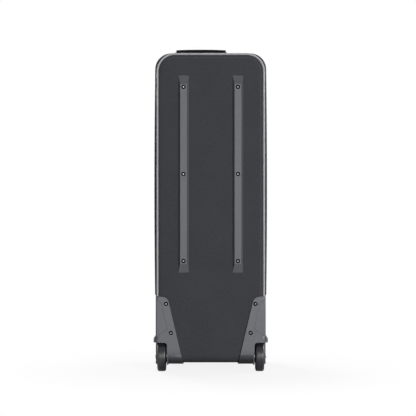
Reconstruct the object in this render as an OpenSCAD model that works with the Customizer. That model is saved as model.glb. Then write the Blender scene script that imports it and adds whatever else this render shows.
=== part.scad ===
// Ball launcher built into a tall soft-sided trolley case.
// Millimetres. The floor is z = 0, +Z is up, the back panel faces -Y and +X is to the right seen from behind.
// The origin is on the floor, in the middle of the overall box.

$fn = 72;

/* [Case] */
// Width over the side walls
case_w = 289; // [275:1:330]
// Height of the soft case
case_h = 803.5; // [780:0.5:900]
// Depth from the back panel to the front face
case_d = 272; // [260:1:300]
// Clear height under the case
ground_gap = 24; // [20:1:28]
// Outer radius of the top corners
corner_r = 41; // [34:1:48]
// Outer radius of the bottom corners
base_r = 18; // [12:1:22]
// Thickness of the padded walls
wall_t = 8; // [6:0.5:10]
// Outer radius of the lower back edge
heel_r = 22; // [16:1:26]
// Thickness of the back and front panels
panel_t = 10; // [8:0.5:12]
// Thickness of the stiff board inside the back panel
board_t = 3; // [2:0.5:4]

/* [Piping] */
// Diameter of the piping
pipe_d = 5.2; // [4:0.2:6]
// Distance from a side wall's outer face to the piping's centre
pipe_in = 6.5; // [5:0.5:8]
// Distance from the top wall's outer face to the piping's centre
pipe_drop = 3; // [2.6:0.2:5]
// Radius of the piping's top corners
pipe_r = 45; // [40:1:50]

/* [Skid rails] */
// Distance between the two rails' centre lines
rail_gap = 140.5; // [110:0.5:150]
// Length of a rail
rail_len = 512; // [490:1:520]
// Distance from the case's top down to the rails' upper ends
rail_drop = 58; // [45:0.5:75]
// Width of a rail at its base
rail_w = 27.5; // [24:0.5:32]
// Width of a rail's flat face
rail_face = 17; // [14:0.5:20]
// Height of a rail above the back panel
rail_h = 8.5; // [7:0.5:9.5]
// Length of the ramp at each end of a rail
rail_ramp = 23.5; // [15:0.5:26]
// Distance between neighbouring rail screws
rail_pitch = 225; // [200:1:228]

/* [Screws] */
// Diameter of a screw's shank
screw_d = 5; // [4:0.5:6]
// Diameter of a screw's head
head_d = 8.6; // [8:0.1:10]
// Height of a screw's domed head
head_h = 2.6; // [2:0.1:3]
// Diameter of the sunk seat round a head
sink_d = 11.6; // [11:0.1:13]
// Depth of the sunk seat in a rail
rail_sink = 3; // [2:0.5:4]
// Depth of the sunk seat in a housing
guard_sink = 1.6; // [1:0.2:2]
// Clearance round a screw's shank
screw_fit = 0.1; // [0.05:0.05:0.3]

/* [Wheel housings] */
// Distance of a housing's side from the side wall's outer face
guard_in = 1.8; // [1:0.1:4]
// Thickness of a housing's back plate
guard_t = 4; // [3:0.5:5]
// Height of a housing's top above the floor
guard_top = 197.5; // [180:0.5:220]
// Width of a housing's back plate at the top
guard_top_w = 31; // [28:0.5:36]
// Width of a housing's back plate at the bottom
guard_low_w = 72; // [66:0.5:80]
// Radius of a housing's upper inner corner
guard_r = 16; // [8:1:18]
// Fall of a housing's top edge from the outer corner
guard_fall = 4; // [2:0.5:8]
// Depth of a housing's side plate at the top
side_top_d = 44; // [40:1:55]
// Depth of a housing's side plate at the bottom
side_low_d = 98; // [92:1:110]
// Rounding of a housing's standing edge
guard_edge_r = 7; // [4:0.5:8]
// Thickness of a housing's side plate
cheek_t = 3.5; // [3:0.25:4]
// Thickness of the wheel well's shell
shell_t = 3.5; // [3:0.25:4]
// Height of the wheel arch above the floor
arch_top = 77; // [74:0.5:78]
// Radius of the wheel arch's inner corner
arch_r = 8; // [4:0.5:10]
// How far the brow over the wheel stands out
brow_out = 5.5; // [4:0.5:6]
// Height of the brow over the wheel
brow_h = 20; // [14:1:24]
// Depth of the shallow panel in the back plate
inlay_depth = 0.9; // [0.6:0.1:1.2]
// Width of the flat band between the housing's inner edge and the shallow panel
inlay_band = 18.7; // [17:0.1:22]
// Radius of the cheek's end round the axle
lobe_r = 15; // [13:0.5:17]

/* [Wheels] */
// Diameter of a wheel
wheel_d = 80; // [78:0.5:82]
// Width of a wheel
tyre_w = 22.5; // [20:0.5:24]
// Thickness of a tyre
tyre_t = 10; // [8:0.5:12]
// Rounding of a tyre's shoulders
shoulder_r = 5; // [3:0.5:6]
// How far a wheel stands behind the back panel
wheel_proud = 10; // [9.5:0.5:12]
// Gap between a wheel and the cheek outside it
wheel_gap = 0.5; // [0.4:0.1:1]
// Length of the collar between a wheel and the inner wall
collar_l = 3; // [2.5:0.25:4]
// Gap round a wheel in its well
well_gap = 4.5; // [3.5:0.5:5]
// Diameter of an axle
axle_d = 8; // [7:0.5:9]
// Outer diameter of a wheel bearing
bearing_d = 22; // [20:0.5:24]
// Width of a wheel bearing
bearing_w = 7; // [6:0.5:8]
// Running clearance of a shaft in its bearing
run_fit = 0.05; // [0.02:0.01:0.1]

/* [Feet] */
// Length of a front foot
foot_l = 50; // [40:1:60]
// Width of a front foot
foot_w = 26; // [22:1:30]
// Distance of a foot's middle from the middle of the case
foot_x = 98; // [85:1:105]
// Distance of a foot's middle from the front face
foot_back = 42; // [35:1:60]

/* [Pull handle] */
// Distance of the handle's middle from the middle of the case
handle_x = -25; // [-30:1:0]
// Length of the handle's bezel
bezel_l = 134; // [126:1:140]
// Width of the handle's bezel
bezel_w = 36; // [34:1:38]
// Height of the bezel above the top wall
bezel_h = 2.5; // [2:0.5:4]
// Length of the grip
grip_l = 129; // [120:1:132]
// Width of the grip
grip_w = 26; // [22:1:28]
// Height of the grip's crown above the top wall
grip_rise = 10; // [9:0.5:14]
// Distance between the two tubes
tube_gap = 84; // [70:1:90]
// Outer diameter of a sliding tube
tube_d = 12; // [10:0.5:13]
// Wall of a fixed tube
sleeve_t = 1.5; // [1:0.25:2]
// Clearance between a sliding and a fixed tube
tube_fit = 0.1; // [0.05:0.05:0.3]
// Travel of the handle
handle_travel = 250; // [200:5:255]
// Length of tube that stays inside at full travel
tube_overlap = 60; // [50:5:65]
// Length of the release button
button_l = 26; // [20:1:32]
// Width of the release button
button_w = 12; // [8:1:14]
// Height of the release button
button_h = 3.5; // [3:0.25:4]
// Travel of the release button
button_travel = 2; // [1:0.25:2]

/* [Loading hatch] */
// Width of the hatch opening
hatch_w = 190; // [160:1:200]
// Distance from the case's top down to the hatch's upper edge
hatch_drop = 39.5; // [33:0.5:60]
// Height of the hatch
hatch_h = 188; // [160:1:210]
// Radius of the hatch's upper corners
hatch_r = 25; // [10:1:35]
// Gap between the hatch and its opening
hatch_gap = 0.6; // [0.5:0.1:1]
// Width of one half of the zip
zip_w = 7; // [5:0.5:9]
// Thickness of the zip
zip_t = 1.4; // [1:0.1:1.8]
// Distance of the zip's ends from the hinge line
zip_start = 12; // [8:1:20]
// Length of the zip slider
slider_l = 13; // [11:0.5:16]
// Length of the zip pull
pull_l = 26; // [20:1:32]
// Travel of the zip slider along the top edge
slider_travel = 100; // [80:1:110]

/* [Fascia] */
// Height of the fascia's top edge above the floor
fascia_top = 430; // [420:1:436]
// How far the port's lip and the dials stand in front of the front face
front_proud = 8; // [7.5:0.5:12]
// Inner diameter of the ball port
port_d = 92; // [90:1:98]
// Outer diameter of the port's lip
lip_d = 120; // [112:1:130]
// Height of the dials above the floor
dial_z = 378; // [370:1:385]
// Distance between the two dials
dial_gap = 124; // [110:1:140]
// Diameter of a dial
dial_d = 36; // [30:1:40]
// Depth of the control recess
control_sink = 2.2; // [1.5:0.1:2.6]

/* [Launcher] */
// Angle of the launch line above the horizon
elevation = 16; // [13:0.5:17]
// Height of the flywheels' pinch point above the floor
nip_z = 243; // [238:1:248]
// Diameter of a flywheel
fly_d = 80; // [76:1:82]
// Width of a flywheel
fly_w = 40; // [36:1:44]
// Gap between the flywheels
fly_gap = 56; // [54:0.5:58]
// Inner diameter of the feed chute
chute_d = 72; // [70:0.5:74]
// Wall of the feed chute and the barrel
chute_t = 2.5; // [2:0.25:3]
// Bend radius of the feed chute
elbow_r = 42; // [41:0.5:44]
// Distance from the pinch point back to the end of the chute's bend
elbow_back = 51; // [50:0.5:54]
// Length of the chute's straight end
chute_run = 15; // [10:0.5:17]
// Inner diameter of the launch barrel
barrel_d = 80; // [78:0.5:81]
// Height of the hopper floor's underside above the floor
hopper_z = 440; // [437:1:450]
// Thickness of the hopper floor
hopper_t = 4; // [3:0.5:5]
// Distance between the chassis plates
plate_gap = 88; // [87:0.5:92]
// Thickness of a chassis plate
plate_t = 3; // [2:0.5:4]
// Diameter of a flywheel motor
motor_d = 52; // [46:1:58]
// Length of a flywheel motor
motor_l = 60; // [50:1:70]
// Diameter of a flywheel's shaft
shaft_d = 8; // [6:0.5:9]
// Outer diameter of a flywheel bearing
fly_bearing_d = 16; // [14:0.5:18]
// Inner diameter of the feeder bowl
bowl_d = 188; // [176:1:200]
// Gap between the feeder bowl and the hopper's back wall
bowl_gap = 2.4; // [1:0.2:4]
// Gap between the feed star and its bowl
star_gap = 6; // [3:0.5:10]
// Diameter of a pocket in the star
pocket_d = 72; // [70:0.5:74]
// Height of the feed star
star_h = 34; // [28:1:40]

/* [Hidden] */
overall_d = wheel_proud + case_d + front_proud;
y_rear = -overall_d / 2;
y_back = y_rear + wheel_proud;
y_face = y_back + case_d;
y_front = y_face + front_proud;
y_wall0 = y_back + pipe_d;
y_wall1 = y_face - pipe_d;
y_board = y_back + panel_t;
y_inner = y_board + board_t;
z_base = ground_gap;
z_top = z_base + case_h;
z_floor = z_base + wall_t;
z_tray = z_base + max(heel_r, base_r) + 4;
z_corner = z_top - corner_r;
hatch_high = z_top - hatch_drop;
hatch_low = hatch_high - hatch_h;
rail_mid = z_top - rail_drop - rail_len / 2;
in_w = case_w / 2 - wall_t;

pipe_x = case_w / 2 - pipe_in;
pipe_z = z_top - pipe_drop;

guard_x = case_w / 2 - guard_in;
guard_low = z_base - guard_t;
plate_x = guard_x - cheek_t;
wheel_x1 = plate_x - wheel_gap;
wheel_x0 = wheel_x1 - tyre_w;
arch_x = wheel_x0 - collar_l;
well_x = arch_x - shell_t;
well_r = wheel_d / 2 + well_gap;
axle_y = y_rear + wheel_d / 2;
axle_z = wheel_d / 2;
guard_screws = [[guard_x - 27, guard_top - 20], [guard_x - 39.5, guard_top - 95]];

screw_reach = panel_t + board_t + 27;
hole_d = screw_d + 2 * screw_fit;
rail_screws_at = [for (s = [-1, 1]) for (i = [-1 : 1]) [s * rail_gap / 2, rail_mid + i * rail_pitch]];

sleeve_d = tube_d + 2 * tube_fit + 2 * sleeve_t;
tube_y = y_inner + 5 + sleeve_d / 2;
tubes_x = [handle_x - tube_gap / 2, handle_x + tube_gap / 2];
sleeve_l = handle_travel + tube_overlap + 20;
sleeve_end = z_top - sleeve_l;
tube_end = sleeve_end + 20;
bracket_h = 24;
bracket_t = 4;
bezel_floor = 1.2;
grip_low = z_top + bezel_floor + 0.3;
crown_z = z_top + grip_rise;

hopper_back = tube_y + sleeve_d / 2 + 0.5;
hopper_back_t = 2.5;
hopper_top = hopper_z + hopper_t;

hopper_front = y_face - panel_t;
bowl_t = 2;
bowl_r = bowl_d / 2;
star_y = hopper_back + hopper_back_t + bowl_gap + bowl_t + bowl_r;
pocket_r = bowl_r - pocket_d / 2 - 0.5;
gearbox_h = 26;

launch_dir = [cos(elevation), sin(elevation)];
launch_up = [-sin(elevation), cos(elevation)];
chute_r = chute_d / 2;
chute_flange_t = 4;
elbow_step = 0.4;
drop_y = star_y - pocket_r;
nip_y = drop_y + elbow_r + elbow_r * sin(elevation) + elbow_back * cos(elevation);
nip = [nip_y, nip_z];
fly_off = (fly_d + fly_gap) / 2;
tread_t = 11;
upper_c = nip + fly_off * launch_up;
lower_c = nip - fly_off * launch_up;
elbow_c = nip - elbow_back * launch_dir + elbow_r * launch_up;
port_z = nip_z + (y_face - nip_y) * tan(elevation);

rim_d = 14;
plate_in = plate_gap / 2;
plate_out = plate_in + plate_t;
plate_foot = 18;
chassis_y0 = drop_y - 0.7 * chute_r;
chassis_y1 = y_wall1 - rim_d - 1.8;
chassis_l = chassis_y1 - chassis_y0;
chassis_h = hopper_z - z_floor;
function on_chassis(y, z) = [chassis_y0 + y * chassis_l, z_floor + z * chassis_h];

fabric = [0.24, 0.245, 0.26];
moulded = [0.43, 0.435, 0.455];
black = [0.07, 0.07, 0.07];
grey = [0.65, 0.65, 0.67];
steel = [0.75, 0.75, 0.77];
rubber = [0.15, 0.15, 0.16];

// Shapes that several pieces share

module along_x(x0, x1) translate([x0, 0, 0]) rotate([90, 0, 90]) linear_extrude(x1 - x0) children();
module along_y(y0, y1) translate([0, y1, 0]) rotate([90, 0, 0]) linear_extrude(y1 - y0) children();
module along_z(z0, z1) translate([0, 0, z0]) linear_extrude(z1 - z0) children();
module on_side(s) if (s < 0) mirror([1, 0, 0]) children(); else children();
module block(low, high) translate(low) cube(high - low);

function unit(v) = v / norm(v);
function half_angle(p, c, n) = acos(unit(p - c) * unit(n - c)) / 2;
function fillet_centre(p, c, n, r) = c + unit(unit(p - c) + unit(n - c)) * r / sin(half_angle(p, c, n));

// A polygon whose corners are rounded to the given radii
module filleted(points, radii) {
    n = len(points);
    polygon([for (i = [0 : n - 1])
        let (p = points[(i + n - 1) % n], c = points[i], q = points[(i + 1) % n],
            d = radii[i] / tan(half_angle(p, c, q)))
        each radii[i] > 0 ? [c + d * unit(p - c), c + d * unit(q - c)] : [c]]);
    for (i = [0 : n - 1])
        if (radii[i] > 0)
            translate(fillet_centre(points[(i + n - 1) % n], points[i], points[(i + 1) % n], radii[i]))
                circle(radii[i]);
}

module rounded_box(x0, x1, y0, y1, r0, r1)
    filleted([[x0, y0], [x1, y0], [x1, y1], [x0, y1]], [r0, r0, r1, r1]);

// A domed screw: head above z = 0, shank below
module screw(length) {
    dome = (head_d * head_d / 4 + head_h * head_h) / (2 * head_h);
    intersection() {
        cylinder(d = head_d, h = head_h);
        translate([0, 0, head_h - dome]) sphere(dome);
    }
    translate([0, 0, -length]) cylinder(d = screw_d, h = length);
}

// The hole for a screw's shank and the sunk seat of its head, from the surface at z = 0
module screw_seat(sink, length) {
    translate([0, 0, -sink]) cylinder(d = sink_d, h = sink + 1);
    translate([0, 0, -length]) cylinder(d = hole_d, h = length);
}

// Moves a screw's axis to point out of the back
module from_back(x, y, z) translate([x, y, z]) rotate([90, 0, 0]) children();

// The outline of the case in the plane of the back panel, set in by a distance
module case_outline(inset)
    rounded_box(-case_w / 2 + inset, case_w / 2 - inset, z_base + inset, z_top - inset,
        base_r - inset, corner_r - inset);

module panel_outline(z0)
    rounded_box(-pipe_x + pipe_d / 2, pipe_x - pipe_d / 2, z0, pipe_z - pipe_d / 2, 0, pipe_r - pipe_d / 2);

module piping_arch(y, z0) {
    run = pipe_x - pipe_r;
    for (s = [-1, 1]) {
        translate([s * pipe_x, y, z0]) cylinder(d = pipe_d, h = pipe_z - pipe_r - z0);
        translate([s * run, y, pipe_z - pipe_r]) rotate([90, 0, 0]) rotate(s > 0 ? 0 : 90)
            rotate_extrude(angle = 90) translate([pipe_r, 0]) circle(d = pipe_d);
    }
    translate([-run, y, pipe_z]) rotate([0, 90, 0]) cylinder(d = pipe_d, h = 2 * run);
}

// The rounded lower back corner of the case in the YZ plane, grown outwards by a distance
module heel_outline(out, y1, z1)
    intersection() {
        filleted([[y_back - out, z_base - out], [y1, z_base - out], [y1, z_top], [y_back - out, z_top]],
            [heel_r + out, 0, 0, 0]);
        translate([y_back - out, z_base - out]) square([y1 - y_back + out, z1 - z_base + out]);
    }

// Wheel housing outlines: the back plate in XZ, the side plate and the wheel well in YZ
module guard_outline()
    filleted([[guard_x - guard_low_w, guard_low], [guard_x, guard_low], [guard_x, guard_top],
        [guard_x - guard_top_w, guard_top - guard_fall]], [0, 0, 0, guard_r]);

module side_outline()
    filleted([[y_back - guard_t, guard_low], [y_back + side_low_d, guard_low],
        [y_back + side_top_d, guard_top - guard_fall], [y_back - guard_t, guard_top]], [0, 0, guard_r, 0]);

module well_outline(r, z0) {
    translate([axle_y, axle_z]) circle(r);
    translate([axle_y - r, z0]) square([2 * r, axle_z - z0]);
}

// The space that the wheel housings take out of the soft case
module housing_room()
    for (s = [-1, 1])
        on_side(s) {
            along_x(well_x, case_w) well_outline(well_r + shell_t, guard_low - 1);
            along_x(plate_x, case_w) side_outline();
        }

// Holes through the back of the case for the rail and housing screws
module back_screw_holes() {
    for (p = rail_screws_at)
        from_back(p[0], y_back - 1, p[1]) translate([0, 0, -screw_reach]) cylinder(d = hole_d, h = screw_reach);
    for (s = [-1, 1])
        for (p = guard_screws)
            from_back(s * p[0], y_back - 1, p[1])
                translate([0, 0, -screw_reach]) cylinder(d = hole_d, h = screw_reach);
}

// Soft case

module back_panel()
    color(fabric)
        difference() {
            union() {
                along_y(y_back, y_wall0) panel_outline(z_tray);
                intersection() {
                    along_y(y_wall0, y_board) case_outline(wall_t);
                    block([-case_w, y_back, z_tray], [case_w, y_board, z_top]);
                }
            }
            housing_room();
            back_screw_holes();
        }

module back_board()
    color(black)
        difference() {
            intersection() {
                along_y(y_board, y_inner) case_outline(wall_t);
                block([-case_w, y_board, z_tray], [case_w, y_inner, z_top]);
            }
            housing_room();
            back_screw_holes();
        }

module back_piping() color(grey) piping_arch(y_back + pipe_d / 2, guard_top);

module side_wall(s)
    color(fabric)
        difference() {
            on_side(s) block([in_w, y_wall0, z_tray], [case_w / 2, y_wall1, z_corner]);
            housing_room();
        }
module left_side_wall() side_wall(-1);
module right_side_wall() side_wall(1);

module top_wall()
    color(fabric)
        difference() {
            intersection() {
                along_y(y_wall0, y_wall1) difference() {
                    case_outline(0);
                    case_outline(wall_t);
                }
                block([-case_w, y_wall0, z_corner], [case_w, y_wall1, z_top + 1]);
            }
            for (x = tubes_x)
                translate([x, tube_y, z_top - wall_t - 1]) cylinder(d = sleeve_d, h = wall_t + 2);
        }

module bottom_tray()
    color(fabric)
        difference() {
            intersection() {
                along_y(y_back, y_wall1) case_outline(0);
                along_x(-case_w / 2, case_w / 2) heel_outline(0, y_wall1, z_tray);
            }
            intersection() {
                along_y(y_board, y_face) case_outline(wall_t);
                along_x(-case_w / 2, case_w / 2)
                    filleted([[y_board, z_floor], [y_face, z_floor], [y_face, z_top], [y_board, z_top]],
                        [heel_r - wall_t, 0, 0, 0]);
            }
            housing_room();
            foot_screw_places() cylinder(d = hole_d, h = z_floor + 1);
        }

module hatch_outline(grow)
    rounded_box(-hatch_w / 2 - grow, hatch_w / 2 + grow, hatch_low - grow, hatch_high + grow, 0, hatch_r + grow);

module front_panel()
    color(fabric)
        difference() {
            union() {
                along_y(y_wall1, y_face) panel_outline(fascia_top);
                intersection() {
                    along_y(y_face - panel_t, y_wall1) case_outline(wall_t);
                    block([-case_w, 0, fascia_top], [case_w, y_wall1, z_top]);
                }
            }
            along_y(y_face - panel_t - 1, y_face + 1) hatch_outline(0);
        }

module front_piping() color(grey) piping_arch(y_face - pipe_d / 2, fascia_top);

// Skid rails

module skid_rail(s)
    color(moulded)
        difference() {
            intersection() {
                along_z(rail_mid - rail_len / 2, rail_mid + rail_len / 2)
                    translate([s * rail_gap / 2, y_back])
                        polygon([[-rail_w / 2, 0], [-rail_face / 2, -rail_h], [rail_face / 2, -rail_h],
                            [rail_w / 2, 0]]);
                along_x(-case_w, case_w) translate([y_back, rail_mid])
                    polygon([[0, -rail_len / 2], [-rail_h, rail_ramp - rail_len / 2],
                        [-rail_h, rail_len / 2 - rail_ramp], [0, rail_len / 2]]);
            }
            for (p = rail_screws_at)
                from_back(p[0], y_back - rail_h, p[1]) screw_seat(rail_sink, rail_h + 1);
        }
module left_skid_rail() skid_rail(-1);
module right_skid_rail() skid_rail(1);

module rail_screws()
    color(steel)
        for (p = rail_screws_at)
            from_back(p[0], y_back - rail_h + rail_sink, p[1]) screw(y_inner - y_back + rail_h - rail_sink);

// Wheel housings: a back plate that wraps the heel, a side plate with the cheek, and the wheel well

module wheel_arch()
    filleted([[arch_x, -1], [case_w, -1], [case_w, arch_top], [arch_x, arch_top]], [0, 0, 0, arch_r]);

function guard_edge_x(z) = guard_x - guard_low_w
    + (guard_low_w - guard_top_w) * (z - guard_low) / (guard_top - guard_fall - guard_low);

module guard_inlay() {
    high = guard_top - 14;
    low = guard_top - 87;
    filleted([[guard_x + 1, low - 20], [guard_x + 1, high + 5],
        [guard_edge_x(high) + inlay_band, high], [guard_edge_x(low) + inlay_band, low]], [0, 0, 6, 7]);
}

module cheek()
    along_x(plate_x, guard_x) {
        difference() {
            side_outline();
            translate([y_back - 2 * guard_t, guard_low - 1])
                square([axle_y + well_r - y_back + 2 * guard_t, arch_top - guard_low + 1]);
        }
        translate([axle_y, axle_z]) circle(lobe_r);
        translate([axle_y - lobe_r, axle_z]) square([2 * lobe_r, arch_top - axle_z]);
    }

module brow()
    along_y(y_back - guard_t + guard_edge_r, axle_y + well_r - shell_t)
        polygon([[guard_x - 1, arch_top], [guard_x + brow_out - 1, arch_top], [guard_x + brow_out, arch_top + 1.5],
            [guard_x + brow_out, arch_top + brow_h / 2], [guard_x - 1, arch_top + brow_h]]);

module wheel_housing(s)
    color(moulded)
        on_side(s)
            difference() {
                union() {
                    intersection() {
                        union() {
                            intersection() {
                                along_x(0, guard_x) difference() {
                                    heel_outline(guard_t, y_back + side_low_d, guard_top);
                                    heel_outline(0, y_back + 2 * side_low_d, guard_top + 1);
                                }
                                along_y(y_back - 2 * guard_t, y_face) guard_outline();
                            }
                            cheek();
                            difference() {
                                along_x(well_x, plate_x + 1) well_outline(well_r + shell_t, guard_low);
                                along_x(arch_x, plate_x) well_outline(well_r, guard_low - 1);
                            }
                        }
                        along_z(guard_low, guard_top)
                            filleted([[0, y_back - guard_t], [guard_x, y_back - guard_t], [guard_x, y_face],
                                [0, y_face]], [0, guard_edge_r, 0, 0]);
                    }
                    brow();
                }
                along_x(arch_x, plate_x) well_outline(well_r, guard_low - 1);
                along_y(y_rear - 1, y_board) wheel_arch();
                along_y(y_back - 2 * guard_t, y_back - guard_t + inlay_depth) guard_inlay();
                for (p = guard_screws)
                    from_back(p[0], y_back - guard_t, p[1]) screw_seat(guard_sink, guard_t + 1);
                translate([well_x - 1, axle_y, axle_z]) rotate([0, 90, 0])
                    cylinder(d = axle_d + 2 * screw_fit, h = guard_x - well_x + 2);
            }
module left_wheel_housing() wheel_housing(-1);
module right_wheel_housing() wheel_housing(1);

module housing_screws()
    color(steel)
        for (s = [-1, 1])
            for (p = guard_screws)
                from_back(s * p[0], y_back - guard_t + guard_sink, p[1])
                    screw(y_inner - y_back + guard_t - guard_sink);

// Wheels, each on two ball bearings, turning on a fixed axle

module on_axle(s, x) on_side(s) translate([x, axle_y, axle_z]) rotate([0, 90, 0]) children();

module axle(s)
    color(steel) {
        head_t = 2.6;
        on_axle(s, well_x - 9) cylinder(d = axle_d, h = guard_x - well_x + 9);
        on_axle(s, guard_x) intersection() {
            cylinder(d = 2 * axle_d, h = head_t);
            translate([0, 0, head_t - 14]) sphere(14);
        }
        on_axle(s, arch_x) difference() {
            cylinder(d = 1.7 * axle_d, h = collar_l - 0.2);
            translate([0, 0, -1]) cylinder(d = axle_d / 2, h = collar_l + 2);
        }
    }
module axles() {
    axle(-1);
    axle(1);
}

module axle_nuts()
    color(steel)
        for (s = [-1, 1])
            on_axle(s, well_x - 7) difference() {
                union() {
                    cylinder(d = 1.75 * axle_d, h = 5.5, $fn = 6);
                    translate([0, 0, 5.5]) cylinder(d = 1.85 * axle_d, h = 1.5);
                }
                translate([0, 0, -1]) cylinder(d = axle_d + 2 * screw_fit, h = 9);
            }

module tyre(s)
    color(rubber)
        on_axle(s, wheel_x0) rotate_extrude()
            filleted([[wheel_d / 2 - tyre_t, 0], [wheel_d / 2, 0], [wheel_d / 2, tyre_w],
                [wheel_d / 2 - tyre_t, tyre_w]], [0, shoulder_r, shoulder_r, 0]);
module left_tyre() tyre(-1);
module right_tyre() tyre(1);

module hub(s) {
    rim_r = wheel_d / 2 - tyre_t;
    web_t = 9;
    spokes = 6;
    color(black)
        on_axle(s, wheel_x0) difference() {
            rotate_extrude() {
                translate([rim_r - 4, 1]) square([4, tyre_w - 2]);
                translate([bearing_d / 2 - 2, (tyre_w - web_t) / 2]) square([rim_r - bearing_d / 2, web_t]);
                translate([bearing_d / 2 - 2, 0]) square([5, tyre_w]);
            }
            for (z = [-1, tyre_w - bearing_w])
                translate([0, 0, z]) cylinder(d = bearing_d, h = bearing_w + 1);
            for (i = [0 : spokes - 1])
                rotate(i * 360 / spokes) translate([(rim_r + bearing_d / 2) / 2, 0, -1])
                    cylinder(d = rim_r - bearing_d / 2 - 9, h = tyre_w + 2);
        }
}
module left_hub() hub(-1);
module right_hub() hub(1);

module bearings(s)
    color(steel)
        for (x = [wheel_x0, wheel_x1 - bearing_w])
            on_axle(s, x) rotate_extrude() {
                r0 = axle_d / 2 + run_fit;
                r1 = bearing_d / 2;
                difference() {
                    translate([r0, 0]) square([r1 - r0, bearing_w]);
                    for (z = [-1, bearing_w - 0.5])
                        translate([r0 + 2, z]) square([r1 - r0 - 4, 1.5]);
                }
            }
module left_bearings() bearings(-1);
module right_bearings() bearings(1);

// Front feet

module foot_places() for (s = [-1, 1]) translate([s * foot_x, y_face - foot_back, 0]) children();
module foot_screw_places() foot_places() for (s = [-1, 1]) translate([s * (foot_l - foot_w) / 2, 0, 0]) children();

foot_lip_t = 4;
foot_seat_t = 6;

module foot_outline(grow) {
    straight = foot_l - foot_w;
    for (s = [-1, 1]) translate([s * straight / 2, 0]) circle(d = foot_w + 2 * grow);
    square([straight, foot_w + 2 * grow], center = true);
}

module front_feet()
    color(black)
        difference() {
            foot_places() {
                along_z(0, z_base) foot_outline(0);
                along_z(z_base - foot_lip_t, z_base) foot_outline(foot_lip_t);
            }
            foot_screw_places() {
                translate([0, 0, -1]) cylinder(d = sink_d, h = z_base - foot_seat_t + 1);
                cylinder(d = hole_d, h = z_base + 1);
            }
        }

module foot_screws()
    color(steel)
        foot_screw_places() translate([0, 0, z_base - foot_seat_t]) rotate([180, 0, 0]) screw(foot_seat_t + wall_t);

// Pull handle

module handle_bezel()
    color(black)
        translate([handle_x, tube_y, z_top]) difference() {
            along_z(0, bezel_h) rounded_box(-bezel_l / 2, bezel_l / 2, -bezel_w / 2, bezel_w / 2, 9, 9);
            along_z(bezel_floor, bezel_h + 1)
                rounded_box(-grip_l / 2 - 0.6, grip_l / 2 + 0.6, -grip_w / 2 - 0.6, grip_w / 2 + 0.6, 7.6, 7.6);
            for (s = [-1, 1])
                translate([s * tube_gap / 2, 0, -1]) cylinder(d = tube_d + 2 * tube_fit, h = bezel_h + 2);
        }

module handle_sleeves()
    color(steel)
        for (x = tubes_x)
            translate([x, tube_y, sleeve_end]) difference() {
                cylinder(d = sleeve_d, h = sleeve_l);
                translate([0, 0, 6]) cylinder(d = tube_d + 2 * tube_fit, h = sleeve_l);
            }

module sleeve_bracket()
    color(black)
        difference() {
            along_z(sleeve_end - bracket_t, sleeve_end + bracket_h)
                rounded_box(tubes_x[0] - sleeve_d, tubes_x[1] + sleeve_d, y_inner, tube_y + sleeve_d / 2 - 1, 0, 6);
            for (x = tubes_x) translate([x, tube_y, sleeve_end]) cylinder(d = sleeve_d, h = 40);
        }

module handle_tubes()
    color(steel)
        for (x = tubes_x)
            translate([x, tube_y, tube_end]) cylinder(d = tube_d, h = grip_low + 3 - tube_end);

module handle_grip() {
    crown_r = grip_l * grip_l / (8 * 2);
    color(black)
        difference() {
            intersection() {
                translate([handle_x, tube_y, 0]) along_z(grip_low, crown_z)
                    rounded_box(-grip_l / 2, grip_l / 2, -grip_w / 2, grip_w / 2, 7, 7);
                translate([handle_x, 0, 0]) along_y(y_back, y_face)
                    translate([0, crown_z - crown_r]) circle(crown_r, $fn = 1440);
                along_x(-case_w, case_w)
                    rounded_box(tube_y - grip_w / 2, tube_y + grip_w / 2, grip_low - 9, crown_z, 0, 6);
            }
            for (x = tubes_x) translate([x, tube_y, grip_low - 1]) cylinder(d = tube_d, h = 4);
            translate([handle_x, tube_y, 0]) along_z(crown_z - button_h - button_travel - 0.3, crown_z + 1)
                rounded_box(-button_l / 2 - 0.2, button_l / 2 + 0.2, -button_w / 2 - 0.2, button_w / 2 + 0.2, 3, 3);
        }
}

module release_button()
    color(grey)
        translate([handle_x, tube_y, 0]) along_z(crown_z - button_h, crown_z)
            rounded_box(-button_l / 2, button_l / 2, -button_w / 2, button_w / 2, 2.8, 2.8);

// Loading hatch with its zip

module hatch_panel()
    color(fabric)
        difference() {
            along_y(y_face - panel_t, y_face) hatch_outline(-hatch_gap);
            block([-case_w, 0, 0], [case_w, y_front, hatch_low + hatch_gap]);
        }

module zip_band(grow0, grow1)
    intersection() {
        along_y(y_face, y_face + zip_t) difference() {
            hatch_outline(grow1);
            hatch_outline(grow0);
        }
        block([-case_w, y_face, hatch_low + zip_start], [case_w, y_front, z_top]);
    }
module hatch_zip() color(black) zip_band(-hatch_gap - zip_w, -hatch_gap);
module frame_zip() color(black) zip_band(0, zip_w);

slider_x = slider_travel / 2;
slider_y = y_face + zip_t + 0.3;
slider_t = 2.2;
bail_y = slider_y + slider_t + 1.7;
bail_z = hatch_high - 2;
bail_d = 1.4;
bail_fit = 0.08;

module zip_slider()
    color(steel) {
        translate([slider_x, 0, hatch_high]) along_y(slider_y, slider_y + slider_t)
            rounded_box(-slider_l / 2, slider_l / 2, -5, 5, 2, 2);
        for (s = [-1, 1])
            translate([slider_x + s * 3.2, 0, 0])
                along_x(-0.7, 0.7) rounded_box(slider_y + slider_t / 2, bail_y + 1.2, bail_z - 1.5, bail_z + 1.5, 0, 1);
        translate([slider_x - 3, bail_y, bail_z]) rotate([0, 90, 0]) cylinder(d = bail_d, h = 6);
    }

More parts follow.
